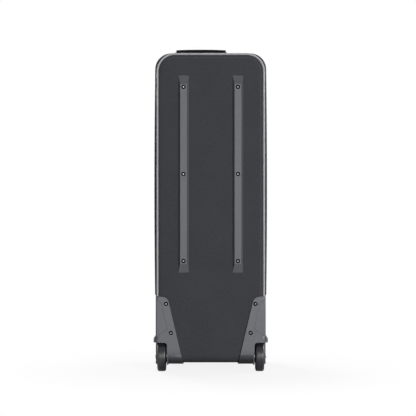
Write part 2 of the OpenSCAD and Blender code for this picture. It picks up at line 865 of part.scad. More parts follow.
module zip_pull()
    color(steel)
        difference() {
            union() {
                translate([slider_x - 2.2, bail_y, bail_z]) rotate([0, 90, 0]) cylinder(d = bail_d + 1.6, h = 4.4);
                translate([slider_x, 0, bail_z]) along_y(bail_y + 0.1, bail_y + 1.5) {
                    rounded_box(-2, 2, -8, -0.5, 0, 0);
                    rounded_box(-3.6, 3.6, -pull_l, -6, 3, 2);
                }
            }
            translate([slider_x - 4, bail_y, bail_z]) rotate([0, 90, 0]) cylinder(d = bail_d + 2 * bail_fit, h = 8);
            translate([slider_x, 0, bail_z - pull_l + 8]) along_y(y_face, y_front + 1) circle(d = 4);
        }

// Fascia with the ball port and the controls

module control_window() rounded_box(-dial_gap / 2 - 34, dial_gap / 2 + 34, dial_z - 31, dial_z + 31, 12, 12);

rocker_y = y_face - control_sink - (pipe_d - control_sink) / 2;
rocker_pin_d = 1.8;
rocker_pin_l = 34;
rocker_slot_w = 30;
rocker_slot_h = 21;
dial_boss = 10;
fascia_boss_d = 12;
fascia_screw_l = 12;
fascia_low = 40;
fascia_drop = 14;
fascia_hole_l = 16;
fascia_screws_z = [z_base + fascia_low, fascia_top - fascia_drop];
fascia_screws_at = [for (s = [-1, 1]) for (z = fascia_screws_z) [s * (in_w - 7), z]];
vent_l = 96;
vent_h = 5;
vent_pitch = 13;
vent_low = 42;

module front_fascia()
    color(moulded)
        difference() {
            union() {
                along_y(y_wall1, y_face)
                    rounded_box(-case_w / 2 + 2, case_w / 2 - 2, z_base + 2, fascia_top, base_r - 2, 0);
                intersection() {
                    along_y(y_wall1 - rim_d, y_wall1) difference() {
                        case_outline(wall_t);
                        case_outline(wall_t + 3);
                    }
                    block([-case_w, 0, z_base], [case_w, y_wall1, fascia_top]);
                }
                for (p = fascia_screws_at)
                    translate([p[0], 0, p[1]]) along_y(y_wall1 - rim_d, y_wall1) circle(d = fascia_boss_d);
                for (s = [-1, 1])
                    translate([s * dial_gap / 2, 0, dial_z]) along_y(y_wall1 - dial_boss, y_wall1)
                        rounded_box(-dial_boss, dial_boss, -dial_boss, dial_boss, 2, 2);
            }
            translate([0, 0, port_z]) along_y(0, y_front) circle(d = port_d + 8);
            along_y(y_face - control_sink, y_front) control_window();
            for (s = [-1, 1])
                translate([s * dial_gap / 2, 0, dial_z]) along_y(0, y_front) circle(d = 6 + 2 * run_fit);
            translate([0, 0, dial_z]) along_y(0, y_front) square([rocker_slot_w, rocker_slot_h], center = true);
            translate([0, rocker_y, dial_z]) rotate([0, 90, 0])
                cylinder(d = rocker_pin_d + 2 * run_fit, h = rocker_pin_l + 2, center = true);
            for (i = [0 : 6])
                translate([0, 0, z_base + vent_low + i * vent_pitch]) along_y(0, y_front)
                    rounded_box(-vent_l / 2, vent_l / 2, -vent_h / 2, vent_h / 2, 0.48 * vent_h, 0.48 * vent_h);
            for (p = fascia_screws_at)
                translate([p[0], y_face, p[1]]) rotate([-90, 0, 0]) {
                    translate([0, 0, -guard_sink]) cylinder(d = sink_d, h = 4);
                    translate([0, 0, -fascia_hole_l]) cylinder(d = hole_d, h = fascia_hole_l);
                }
        }

module fascia_screws()
    color(steel)
        for (p = fascia_screws_at)
            translate([p[0], y_face - guard_sink, p[1]]) rotate([-90, 0, 0]) screw(fascia_screw_l);

module dial(s) {
    low = y_face - control_sink + 0.3;
    color(black)
        translate([s * dial_gap / 2, 0, dial_z]) {
            along_y(low, y_front) difference() {
                circle(d = dial_d);
                for (i = [0 : 11]) rotate(i * 30) translate([dial_d / 2 + 1, 0]) circle(d = 5);
            }
            along_y(y_wall1 - 9, low) circle(d = 6);
        }
}
module speed_dial() dial(-1);
module feed_dial() dial(1);

module power_rocker()
    color(black)
        translate([0, rocker_y, dial_z]) rotate([-8, 0, 0]) {
            along_x(-14.4, 14.4)
                filleted([[-3, -5], [-3, 5], [2.5, 9.2], [5.4, 8.8], [3.2, 0], [5.4, -8.8], [2.5, -9.2]],
                    [0, 0, 1, 0, 0, 0, 1]);
            rotate([0, 90, 0]) cylinder(d = rocker_pin_d, h = rocker_pin_l, center = true);
        }

// Ball hopper and feeder

module hopper_back_wall()
    color(black)
        intersection() {
            along_y(hopper_back, hopper_back + hopper_back_t) case_outline(wall_t);
            block([-case_w, -case_d, hopper_top], [case_w, case_d, z_top]);
        }

module hopper_floor()
    color(black)
        difference() {
            block([-in_w, hopper_back, hopper_z], [in_w, hopper_front, hopper_top]);
            translate([0, drop_y, hopper_z - 1]) cylinder(d = chute_d, h = hopper_t + 2);
            translate([0, star_y, hopper_z - 1]) cylinder(d = shaft_d + 2 * run_fit, h = hopper_t + 2);
        }

module feeder_bowl()
    color(black)
        translate([0, star_y, 0]) along_z(hopper_top, hopper_top + star_h + 2) difference() {
            circle(bowl_r + bowl_t);
            circle(bowl_r);
        }

module feed_star() {
    pockets = 3;
    core_r = pocket_r - pocket_d / 2;
    cone_h = 14;
    color(grey)
        translate([0, star_y, 0]) {
            difference() {
                union() {
                    translate([0, 0, hopper_top + 0.4]) cylinder(r = bowl_r - star_gap, h = star_h - 0.4);
                    translate([0, 0, hopper_top + star_h]) cylinder(r1 = core_r - 1, r2 = core_r / 2, h = cone_h);
                }
                for (i = [0 : pockets - 1])
                    rotate(i * 360 / pockets - 90) translate([pocket_r, 0, hopper_top - 1])
                        cylinder(d = pocket_d, h = star_h + cone_h);
            }
            translate([0, 0, hopper_z - gearbox_h + 2]) cylinder(d = shaft_d, h = gearbox_h + hopper_t);
        }
}

// The gear motor's shaft is off the middle of its gearbox, so that it clears the chute
module feed_motor() {
    gearbox_w = 38;
    back = 7;
    can_d = 32;
    can_h = 32;
    color(steel)
        translate([0, star_y, 0]) difference() {
            union() {
                along_z(hopper_z - gearbox_h, hopper_z)
                    rounded_box(-gearbox_w / 2, gearbox_w / 2, -back, gearbox_w - back, 4, 4);
                translate([0, gearbox_w / 2 - back, hopper_z - gearbox_h - can_h]) cylinder(d = can_d, h = can_h + 1);
            }
            translate([0, 0, hopper_z - gearbox_h + 1]) cylinder(d = shaft_d + 2 * run_fit, h = gearbox_h);
        }
}

module chute_ring(grow)
    difference() {
        circle(chute_r + chute_t + grow);
        circle(chute_r + grow);
    }

// The chute drops from the hopper floor, bends and ends on the launch line behind the flywheels
module feed_chute()
    color(grey) {
        translate([0, drop_y, 0]) along_z(elbow_c[1], hopper_z - chute_flange_t) chute_ring(0);
        translate([0, elbow_c[0], elbow_c[1]]) rotate([90, 0, 90]) rotate(180)
            rotate_extrude(angle = 90 + elevation) translate([elbow_r, 0]) chute_ring(elbow_step);
        along_launch(-elbow_back) linear_extrude(chute_run) chute_ring(0);
        translate([0, drop_y, 0]) along_z(hopper_z - chute_flange_t, hopper_z) difference() {
            circle(chute_r + chute_t + 1.5);
            circle(chute_r);
        }
    }

// Chassis, flywheels and motors

module chassis_outline()
    difference() {
        filleted([on_chassis(0, 0), on_chassis(1, 0), on_chassis(1, 0.42), on_chassis(0.76, 1), on_chassis(0, 1)],
            [6, 6, 12, 6, 6]);
        translate(on_chassis(0.25, 0.24)) circle(d = 0.12 * chassis_h);
        translate(on_chassis(0.15, 0.42)) circle(d = 0.07 * chassis_h);
        translate(on_chassis(0.58, 0.11)) circle(d = 0.1 * chassis_h);
        translate(on_chassis(0.16, 0.88)) circle(d = 0.09 * chassis_h);
        for (c = [upper_c, lower_c]) translate(c) circle(d = fly_bearing_d);
    }

tie_rods_at = [on_chassis(0.07, 0.07), on_chassis(0.94, 0.06), on_chassis(0.07, 0.32), on_chassis(0.7, 0.95)];

module chassis_plate(s)
    color(steel)
        on_side(s) {
            along_x(plate_in, plate_out) difference() {
                chassis_outline();
                for (p = tie_rods_at) translate(p) circle(d = 5);
            }
            block([plate_out - 1, chassis_y0 + 4, z_floor],
                [plate_out + plate_foot, chassis_y1 - 6, z_floor + plate_t]);
        }
module left_chassis_plate() chassis_plate(-1);
module right_chassis_plate() chassis_plate(1);

module tie_rods()
    color(steel)
        for (p = tie_rods_at)
            translate([0, p[0], p[1]]) rotate([0, 90, 0]) {
                cylinder(d = 9, h = plate_gap, center = true);
                cylinder(d = 5, h = plate_gap + 2 * plate_t, center = true);
                for (s = [-1, 1])
                    translate([0, 0, s * (plate_out + 2)]) cylinder(d = 9, h = 4, center = true);
            }

module on_shaft(c, x) translate([x, c[0], c[1]]) rotate([0, 90, 0]) children();

module flywheel_bearings()
    color(steel)
        for (c = [upper_c, lower_c])
            for (s = [-1, 1])
                on_side(s) on_shaft(c, plate_in) difference() {
                    union() {
                        cylinder(d = fly_bearing_d, h = plate_t);
                        translate([0, 0, -1]) cylinder(d = fly_bearing_d + 3, h = 1);
                    }
                    translate([0, 0, -2]) cylinder(d = shaft_d + 2 * run_fit, h = plate_t + 4);
                }

module flywheel(c) {
    groove_r = 60;
    groove = 4;
    color(rubber)
        on_shaft(c, 0) rotate_extrude() difference() {
            translate([fly_d / 2 - tread_t, -fly_w / 2]) square([tread_t, fly_w]);
            translate([fly_d / 2 + groove_r - groove, 0]) circle(groove_r, $fn = 240);
        }
}
module upper_flywheel() flywheel(upper_c);
module lower_flywheel() flywheel(lower_c);

module flywheel_hub(c, s) {
    rim_r = fly_d / 2 - tread_t;
    web_t = 16;
    boss_d = 24;
    hole = 13;
    short = 15;
    color(steel)
        on_side(s) on_shaft(c, 0) {
            difference() {
                union() {
                    cylinder(r = rim_r, h = web_t, center = true);
                    cylinder(d = boss_d, h = fly_w, center = true);
                }
                for (i = [0 : 4])
                    rotate(i * 72) translate([rim_r * 0.66, 0, 0]) cylinder(d = hole, h = web_t + 4, center = true);
            }
            translate([0, 0, -plate_out - 3]) cylinder(d = shaft_d, h = 2 * plate_out + 3 + motor_l - short);
        }
}
module upper_flywheel_hub() flywheel_hub(upper_c, 1);
module lower_flywheel_hub() flywheel_hub(lower_c, -1);

module motor(c, s)
    color(black)
        on_side(s) on_shaft(c, plate_out) difference() {
            union() {
                cylinder(d = motor_d, h = motor_l);
                translate([0, 0, motor_l]) cylinder(d1 = motor_d - 6, d2 = motor_d - 14, h = 4);
            }
            translate([0, 0, -1]) cylinder(d = shaft_d + 2 * run_fit, h = motor_l - 10);
            for (i = [0 : 9])
                rotate(i * 36) translate([motor_d / 2, 0, motor_l - 18]) cylinder(d = 5, h = 12);
        }
module upper_motor() motor(upper_c, 1);
module lower_motor() motor(lower_c, -1);

module along_launch(t) translate([0, nip[0] + t * launch_dir[0], nip[1] + t * launch_dir[1]])
    rotate([elevation - 90, 0, 0]) children();

// The barrel, its flange behind the fascia and its lip in front
module launch_barrel() {
    flange_t = 3;
    start = fly_d / 2 - 7;
    lip_w = (lip_d - port_d) / 2;
    color(black) {
        difference() {
            union() {
                intersection() {
                    along_launch(start) cylinder(d = barrel_d + 2 * chute_t + 1, h = case_d);
                    block([-case_w, 0, 0], [case_w, y_wall1, z_top]);
                }
                translate([0, 0, port_z]) along_y(y_wall1 - flange_t, y_wall1) circle(d = port_d + 24);
            }
            along_launch(start - 1) cylinder(d = barrel_d, h = case_d);
        }
        translate([0, 0, port_z]) along_y(y_wall1, y_face) difference() {
            circle(d = port_d + 8);
            circle(d = port_d);
        }
        translate([0, y_face, port_z]) rotate([-90, 0, 0]) rotate_extrude()
            filleted([[port_d / 2, 0], [lip_d / 2, 0], [port_d / 2 + lip_w / 2, front_proud],
                [port_d / 2, front_proud]], [0, 0, 4, 2]);
    }
}

module battery_pack() {
    half_w = plate_in - 7;
    height = 0.16 * chassis_h;
    lid_t = 4;
    groove = 1.5;
    y0 = chassis_y0 + 0.12 * chassis_l;
    y1 = chassis_y1 - 0.13 * chassis_l;
    pitch = (y1 - y0) / 7;
    color(black)
        difference() {
            union() {
                along_z(z_floor, z_floor + height) rounded_box(-half_w, half_w, y0, y1, 6, 6);
                along_z(z_floor + height, z_floor + height + lid_t)
                    rounded_box(7 - half_w, half_w - 7, y0 + 12, y1 - 12, 8, 8);
            }
            for (s = [-1, 1])
                for (i = [-2 : 2])
                    translate([s * half_w, (y0 + y1) / 2 + i * pitch, z_floor + height / 2])
                        cube([2 * groove, 5, 0.6 * height], center = true);
        }
}

module control_board() {
    stand = 6;
    board = 1.6;
    size = 0.44 * chassis_l;
    low = on_chassis(0.04, 0.1);
    color([0.1, 0.3, 0.2])
        translate([plate_out, low[0], low[1]]) {
            along_x(stand, stand + board) rounded_box(0, size, 0, size, 2, 2);
            for (y = [5, size - 5])
                for (z = [5, size - 5])
                    translate([0, y, z]) rotate([0, 90, 0]) cylinder(d = 6, h = stand);
            along_x(stand + board, stand + 14) rounded_box(0.1 * size, 0.45 * size, 0.18 * size, 0.78 * size, 1, 1);
            for (z = [0.28, 0.5, 0.72])
                translate([stand + board, 0.8 * size, z * size]) rotate([0, 90, 0]) cylinder(d = 0.15 * size, h = 14);
        }
}

back_panel();
back_board();
back_piping();
left_side_wall();
right_side_wall();
top_wall();
bottom_tray();
front_panel();
front_piping();
front_fascia();
fascia_screws();
left_skid_rail();
right_skid_rail();
rail_screws();
left_wheel_housing();
right_wheel_housing();
housing_screws();
axles();
axle_nuts();
left_tyre();
right_tyre();
left_hub();
right_hub();
left_bearings();
right_bearings();
front_feet();
foot_screws();
handle_bezel();
handle_sleeves();
sleeve_bracket();
handle_tubes();
handle_grip();
release_button();
hatch_panel();
hatch_zip();
frame_zip();
zip_slider();
zip_pull();
hopper_back_wall();
hopper_floor();
feeder_bowl();
feed_star();
feed_motor();
feed_chute();
left_chassis_plate();
right_chassis_plate();
tie_rods();
flywheel_bearings();
upper_flywheel();
upper_flywheel_hub();
lower_flywheel();
lower_flywheel_hub();
upper_motor();
lower_motor();
launch_barrel();
battery_pack();
control_board();
speed_dial();
feed_dial();
power_rocker();
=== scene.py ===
import math

import bmesh
import bpy
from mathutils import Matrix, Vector


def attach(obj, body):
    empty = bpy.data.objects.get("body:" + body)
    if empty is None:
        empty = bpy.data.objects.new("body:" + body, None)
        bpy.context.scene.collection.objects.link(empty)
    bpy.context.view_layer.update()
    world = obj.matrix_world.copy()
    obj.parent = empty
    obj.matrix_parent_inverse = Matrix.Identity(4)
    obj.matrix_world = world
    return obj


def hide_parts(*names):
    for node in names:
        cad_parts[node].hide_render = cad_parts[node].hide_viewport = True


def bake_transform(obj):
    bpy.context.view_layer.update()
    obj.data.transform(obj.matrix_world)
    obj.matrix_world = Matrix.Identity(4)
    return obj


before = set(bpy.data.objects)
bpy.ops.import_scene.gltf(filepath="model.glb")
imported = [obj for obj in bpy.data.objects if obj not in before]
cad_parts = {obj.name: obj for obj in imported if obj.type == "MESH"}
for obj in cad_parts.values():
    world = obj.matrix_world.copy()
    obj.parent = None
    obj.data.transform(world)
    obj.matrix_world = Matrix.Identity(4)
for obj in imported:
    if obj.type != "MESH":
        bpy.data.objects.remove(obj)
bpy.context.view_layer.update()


# Base pan: a black moulded pan that closes the case below and rolls up over the heel at the back.
# It is injection moulded with a fine spark grain. The fabric walls are sewn and riveted to its rim.

class Link:
    """One socket of a node tree. Expressions on links add Math nodes."""

    def __init__(self, tree, socket=None):
        self.tree, self.socket = tree, socket

    def node(self, kind, settings=(), sockets=(), output=0):
        made = self.tree.nodes.new(kind)
        for key, value in dict(settings).items():
            setattr(made, key, value)
        for key, value in dict(sockets).items():
            if isinstance(value, Link):
                self.tree.links.new(value.socket, made.inputs[key])
            else:
                made.inputs[key].default_value = value
        return Link(self.tree, made.outputs[output])

    def calc(self, operation, left, right=0.0):
        return self.node("ShaderNodeMath", {"operation": operation}, {0: left, 1: right})

    def __add__(self, other):
        return self.calc("ADD", self, other)

    def __radd__(self, other):
        return self.calc("ADD", other, self)

    def __sub__(self, other):
        return self.calc("SUBTRACT", self, other)

    def __rsub__(self, other):
        return self.calc("SUBTRACT", other, self)

    def __mul__(self, other):
        return self.calc("MULTIPLY", self, other)

    def __rmul__(self, other):
        return self.calc("MULTIPLY", other, self)

    def __abs__(self):
        return self.calc("ABSOLUTE", self)

    def __pow__(self, other):
        return self.calc("POWER", self, other)

    def blend(self, dark, light):
        return self.node("ShaderNodeMix", {"data_type": "RGBA"}, {0: self, 6: dark, 7: light}, 2)

    def noise(self, scale, detail=2.0, roughness=0.5):
        return self.node("ShaderNodeTexNoise", (), {"Vector": self, "Scale": scale, "Detail": detail,
                                                    "Roughness": roughness})


def tone(colour, level):
    """A colour made darker or lighter, with its alpha."""
    return (*[min(1.0, c * level) for c in colour], 1.0)


def new_finish(name, colour, roughness, **constants):
    """A material with one Principled shader, a link to build on and that shader."""
    material = bpy.data.materials.new(name)
    material.use_nodes = True
    shader = material.node_tree.nodes["Principled BSDF"]
    shader.inputs["Base Color"].default_value = (*colour, 1.0)
    shader.inputs["Roughness"].default_value = roughness
    for key, value in constants.items():
        shader.inputs[key.replace("_", " ")].default_value = value
    return material, Link(material.node_tree), shader


def feed(shader, key, link):
    link.tree.links.new(link.socket, shader.inputs[key])


def rise(value, start, end, low, high):
    """Goes smoothly from low to high while the value goes from start to end."""
    return value.node("ShaderNodeMapRange", {"interpolation_type": "SMOOTHSTEP"},
                      {"Value": value, "From Min": start, "From Max": end, "To Min": low, "To Max": high})


# Reach of the painted crevice shade and of the edge wear; heights over which painted shade fades out above the
# floor.
CREVICE_SHADE_REACH, WEAR_REACH = 0.006, 0.0009
HEEL_SHADE_FULL, HEEL_SHADE_NONE = 0.024, 0.062


def moulded(name, colour, roughness, grain=0.0011, depth=0.00010, mottle=0.10, shine=0.2, painted_crevice_shade=0.0, wear=0.0,
            painted_heel_shade=0.0):
    """Moulded plastic with a fine grain. Its sunk lines and corners can get painted shade, with wear its edges
    are rubbed pale, and its lowest part can get painted shade that darkens it towards the floor."""
    material, at, shader = new_finish(name, colour, roughness, Specular_IOR_Level=shine)
    place = at.node("ShaderNodeTexCoord", output="Object")
    cloud = 0.5 * place.noise(16.0, 3.0) + 0.5 * place.noise(190.0, 2.0, 0.6)
    skin = place.noise(1.0 / grain, 2.0, 0.6)
    paint = cloud.blend(tone(colour, 1 - mottle), tone(colour, 1 + mottle))
    nearby = {"samples": 8, "only_local": True}
    # Painted shade in corners, sunk lines and screw seats, darkened where ambient occlusion finds little open
    # air.
    if painted_crevice_shade:
        open_air = at.node("ShaderNodeAmbientOcclusion", nearby, {"Distance": CREVICE_SHADE_REACH}, 1)
        corner = at.calc("MINIMUM", 1.0, (1 - open_air) * 5.0 * painted_crevice_shade)
        paint = corner.blend(paint, tone(colour, 0.25))
    if wear:
        solid = at.node("ShaderNodeAmbientOcclusion", {**nearby, "inside": True}, {"Distance": WEAR_REACH}, 1)
        patches = rise(place.noise(70.0, 4.0, 0.65), 0.38, 0.66, 0.25, 1.0)
        rubbed = at.calc("MINIMUM", 1.0, (1 - solid) * 2.2 * wear * patches)
        paint = rubbed.blend(paint, tone(colour, 1.75))
    # Painted shade: darker towards the floor, where the heel curls under and gets little light.
    if painted_heel_shade:
        level = at.node("ShaderNodeSeparateXYZ", (), {0: place}, 2)
        paint = rise(level, HEEL_SHADE_FULL, HEEL_SHADE_NONE, painted_heel_shade, 0.0).blend(paint, tone(colour, 0.15))
    feed(shader, "Base Color", paint)
    feed(shader, "Roughness", roughness - 0.07 + 0.14 * place.noise(60.0, 3.0))
    feed(shader, "Normal", at.node("ShaderNodeBump", (), {"Strength": 0.5, "Distance": depth, "Height": skin}))
    return material


WELD_GAP = 0.00001
FLAT_ANGLE, EDGE_ANGLE = math.radians(0.6), math.radians(35)


def dress(material, *names, edge=0.0, segments=2):
    """Gives CAD nodes a finish and, where edge is set, the small radius that their edges have."""
    for name in names:
        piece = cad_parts[name]
        for place in piece.material_slots:
            place.material = material
        if edge:
            weld = piece.modifiers.new("weld", "WELD")
            weld.merge_threshold = WELD_GAP
            flat = piece.modifiers.new("flat", "DECIMATE")
            flat.decimate_type, flat.angle_limit = "DISSOLVE", FLAT_ANGLE
            round_off = piece.modifiers.new("round", "BEVEL")
            round_off.width, round_off.segments = edge, segments
            round_off.limit_method, round_off.angle_limit = "ANGLE", EDGE_ANGLE
            round_off.harden_normals = True
            round_off.use_clamp_overlap = True


pan_black = moulded("pan black", (0.013, 0.013, 0.014), 0.55)
dress(pan_black, "bottom_tray", "front_feet", edge=0.0006)


# Fabric walls: one padded band of woven polyester that runs up the left side, over the top and down the
# right side. It is sewn to the back and front panels under the piping and dips below the wheel housings.

MM = 0.001
HALF_WIDTH, TOP, CORNER = 144.5, 827.5, 41.0
PIPE_X, PIPE_TOP, PIPE_R = 138.0, 824.5, 45.0
BACK, FACE = -135.0, 137.0
WALL_FOOT = 50.4
CASE_MIDDLE = Vector((0, 0, 0.42))
FABRIC = (0.0446, 0.0457, 0.0512)


def woven(name, colour, pitch=0.0011, depth=0.00022, upright=False):
    """Plain weave that follows the piece's own cloth map, in metres. An upright tape needs no map."""
    material, at, shader = new_finish(name, colour, 0.82, Sheen_Weight=0.03, Sheen_Roughness=0.45,
                                      Specular_IOR_Level=0.10)
    place = at.node("ShaderNodeTexCoord", output="Object")
    if upright:
        cloth = at.node("ShaderNodeMapping", (), {"Vector": place, "Rotation": (math.pi / 2, 0, 0)})
    else:
        cloth = at.node("ShaderNodeUVMap", {"uv_map": "cloth"})
    across = at.node("ShaderNodeSeparateXYZ", (), {0: cloth})
    along = Link(at.tree, across.socket.node.outputs[1])
    turn = math.pi / pitch
    over = at.calc("SINE", across * turn) * at.calc("SINE", along * turn)
    crest = abs(over) ** 0.5
    slub = at.node("ShaderNodeMapping", (), {"Vector": cloth, "Scale": (1.0, 0.12, 1.0)}).noise(900.0, 2.0)
    dust = place.noise(9.0, 4.0, 0.6)
    nap = place.noise(170.0, 3.0, 0.6) - 0.5
    shade = 0.22 * crest + 0.10 * over + 0.42 * slub + 0.36 * dust + 0.34 * nap
    feed(shader, "Base Color", shade.blend(tone(colour, 0.52), tone(colour, 1.52)))
    feed(shader, "Roughness", 0.74 + 0.16 * dust)
    soft = at.node("ShaderNodeBump", (), {"Strength": 0.5, "Distance": 0.0016,
                                          "Height": place.noise(11.0, 2.0)})
    feed(shader, "Normal", at.node("ShaderNodeBump", (), {"Strength": 0.45, "Distance": depth, "Normal": soft,
                                                          "Height": crest + 0.5 * slub}))
    return material


def sew(name, rows, material, thickness, skip=None):
    """A padded cloth piece from rows of (x, y, z, u, v) in millimetres, thickened inwards."""
    build = bmesh.new()
    chart = build.loops.layers.uv.new("cloth")
    grid = [[(build.verts.new(Vector(p[:3]) * MM), (p[3] * MM, p[4] * MM)) for p in row] for row in rows]
    for low, high in zip(grid, grid[1:]):
        for corners in zip(low, low[1:], high[1:], high):
            middle = sum((v.co for v, _ in corners), Vector()) / 4 / MM
            if skip and skip(middle):
                continue
            face = build.faces.new([v for v, _ in corners])
            face.smooth = True
            for loop, (_, uv) in zip(face.loops, corners):
                loop[chart].uv = uv
    bmesh.ops.delete(build, geom=[v for v in build.verts if not v.link_faces], context="VERTS")
    bmesh.ops.remove_doubles(build, verts=build.verts, dist=0.001 * MM)
    build.normal_update()
    if sum(f.normal.dot(f.calc_center_median() - CASE_MIDDLE) * f.calc_area() for f in build.faces) < 0:
        bmesh.ops.reverse_faces(build, faces=build.faces)
    mesh = bpy.data.meshes.new(name)
    build.to_mesh(mesh)
    build.free()
    mesh.materials.append(material)
    piece = bpy.data.objects.new(name, mesh)
    bpy.context.scene.collection.objects.link(piece)
    body = piece.modifiers.new("padding", "SOLIDIFY")
    body.thickness, body.offset = thickness * MM, -1.0
    return piece


STEP, BEND = 4.0, 14


def arch(half, top, radius, foot, counts=None):
    """Points (x, z, outward x, outward z, length) up the left side, over the top and down the right."""
    def corner(middle, start):
        for i in range(BEND):
            a = start - math.pi / 2 * i / BEND
            yield middle + radius * math.cos(a), top - radius + radius * math.sin(a), math.cos(a), math.sin(a)

    steps, run = counts or (round((top - radius - foot) / STEP), round(2 * (half - radius) / STEP))
    made = [(-half, foot + (top - radius - foot) * i / steps, -1.0, 0.0) for i in range(steps)]
    made += corner(radius - half, math.pi)
    made += [(-half + radius + 2 * (half - radius) * i / run, top, 0.0, 1.0) for i in range(run)]
    made += corner(half - radius, math.pi / 2)
    made += [(half, top - radius - (top - radius - foot) * i / steps, 1.0, 0.0) for i in range(steps + 1)]
    length, out, last = 0.0, [], made[0]
    for p in made:
        length += math.hypot(p[0] - last[0], p[1] - last[1])
        out.append((*p, length))
        last = p
    return out


def ease(t):
    """A smooth step from 0 to 1."""
    t = min(1.0, max(0.0, t))
    return t * t * (3 - 2 * t)


CHEEK_FOOT, CHEEK_HEAD, CHEEK_TOP = 98.0, 44.0, 195.5
HOUSING_LOW, HOUSING_RISE = 20.0, 173.5


def inside_cheek(y, z):
    """Distance inside the outline of a wheel housing's side plate, negative outside."""
    slope = (CHEEK_FOOT - CHEEK_HEAD) / HOUSING_RISE
    edge = (BACK + CHEEK_FOOT - slope * (z - HOUSING_LOW) - y) * math.cos(math.atan(slope))
    return min(edge, CHEEK_TOP - z)


WALL_COUNTS = 184, 52
WALL_SEAM = arch(PIPE_X + 1.8, PIPE_TOP + 1.2, PIPE_R + 1.5, WALL_FOOT, WALL_COUNTS)
WALL_FULL = arch(HALF_WIDTH, TOP, CORNER, WALL_FOOT, WALL_COUNTS)
WALL_BACK, WALL_FRONT = BACK + 3.8, FACE - 5.2
TOP_STITCHES = (BACK + 28, FACE - 30)
EDGE_ROLL = 13.0
SIDE_BELLY, SIDE_SET, TOP_BELLY = 2.6, 0.5, 1.6
SEAM_DIP, SEAM_WIDTH = 0.9, 1.8
HOUSING_DRAW, HOUSING_DIP, HOUSING_TUCK = 2.4, 2.6, 3.6
CLOTH_END = 6.0


def slack(along, y):
    """Shallow waves in the padding between the seams, and small puckers beside the stitched lines."""
    waves = 0.9 * math.sin(along / 61 + 0.6) * math.sin(y / 33 + 1.1)
    waves += 0.6 * math.sin(along / 37 + y / 52 + 2.0) + 0.35 * math.sin(along / 23 - y / 29 + 4.1)
    waves *= ease((y - BACK - 26) / 60) * ease((WALL_FRONT - 14 - y) / 50)
    near = sum(math.exp(-((abs(y - line) - 6.5) / 4.0) ** 2) for line in TOP_STITCHES)
    return waves + 0.22 * near * math.sin(along / 3.1 + 1.7 * math.sin(along / 41))


def wall_point(i, y):
    """The band's surface at one step along its length and at depth y, with its cloth map."""
    seam, full = WALL_SEAM[i], WALL_FULL[i]
    roll = 1.0
    for gap in (y - WALL_BACK, WALL_FRONT - y):
        t = min(1.0, max(0.0, gap / EDGE_ROLL))
        roll *= math.sqrt(1 - (1 - t) ** 2)
    x = seam[0] + (full[0] - seam[0]) * roll
    z = seam[1] + (full[1] - seam[1]) * roll
    side, height = abs(full[2]), full[1]
    inside = inside_cheek(y, height)
    belly = side * (SIDE_BELLY * math.sin(math.pi * min(1.0, max(0.0, (height - 130) / 700))) - SIDE_SET)
    belly -= side * HOUSING_DRAW * ease((203 - height) / 8) * ease((inside + 34) / 30)
    belly += (1 - side) * TOP_BELLY * ease((y - BACK - 47) / 50) * ease((WALL_FRONT - 4 - y) / 40)
    belly *= roll
    belly += slack(full[4], y) * (ease((-8 - inside) / 40) if side > 0.1 else 1.0)
    belly -= sum(SEAM_DIP * math.exp(-((y - line) / SEAM_WIDTH) ** 2) for line in TOP_STITCHES)
    if side > 0.9:
        belly -= HOUSING_DIP * ease((inside + 3) / 3) + HOUSING_TUCK * ease(inside / 3)
    return x + full[2] * belly, y, z + full[3] * belly, full[4], y


def wall_rows():
    """Rows along the band, closer together where the edges roll in and beside the stitched lines."""
    roll = (0.4, 1.0, 2.2, 4.2, 6.7, 9.7, 13.2)
    depths = [WALL_BACK + d for d in roll] + [WALL_FRONT - d for d in roll]
    depths += [WALL_BACK + 17.2 + STEP * i for i in range(58)]
    for line in TOP_STITCHES:
        depths = [d for d in depths if abs(d - line) > 2.6]
        depths += [line + d for d in (-2.2, -1.0, 0.0, 1.0, 2.2)]
    depths.sort()
    for i in range(len(WALL_FULL)):
        yield [wall_point(i, y) for y in depths]


charcoal = woven("charcoal weave", FABRIC)
walls = sew("fabric_walls", list(wall_rows()), charcoal, 5.0,
            lambda p: abs(p.x) > 120 and inside_cheek(p.y, p.z) > CLOTH_END)
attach(walls, "case")
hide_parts("left_side_wall", "right_side_wall", "top_wall")


def open_group(name, **inputs):
    """A Geometry Nodes group that takes a mesh and named values, as one link for each of them."""
    tree = bpy.data.node_groups.new(name, "GeometryNodeTree")
    tree.is_modifier = True
    tree.interface.new_socket("Geometry", in_out="OUTPUT", socket_type="NodeSocketGeometry")
    for key, kind in {"Geometry": "Geometry", **inputs}.items():
        tree.interface.new_socket(key, in_out="INPUT", socket_type="NodeSocket" + kind)
    given = tree.nodes.new("NodeGroupInput")
    return [Link(tree, given.outputs[i]) for i in range(len(inputs) + 1)]


def close_group(points, part, turn, finish):
    """Ends a group: the part stands on every point, as plain mesh with one finish."""
    spread = points.node("GeometryNodeInstanceOnPoints", (),
                         {"Points": points, "Instance": part, "Rotation": turn})
    solid = points.node("GeometryNodeRealizeInstances", (), {"Geometry": spread})
    done = points.node("GeometryNodeSetMaterial", (), {"Geometry": solid, "Material": finish})
    out = points.tree.nodes.new("NodeGroupOutput")
    points.tree.links.new(done.socket, out.inputs[0])
    return points.tree


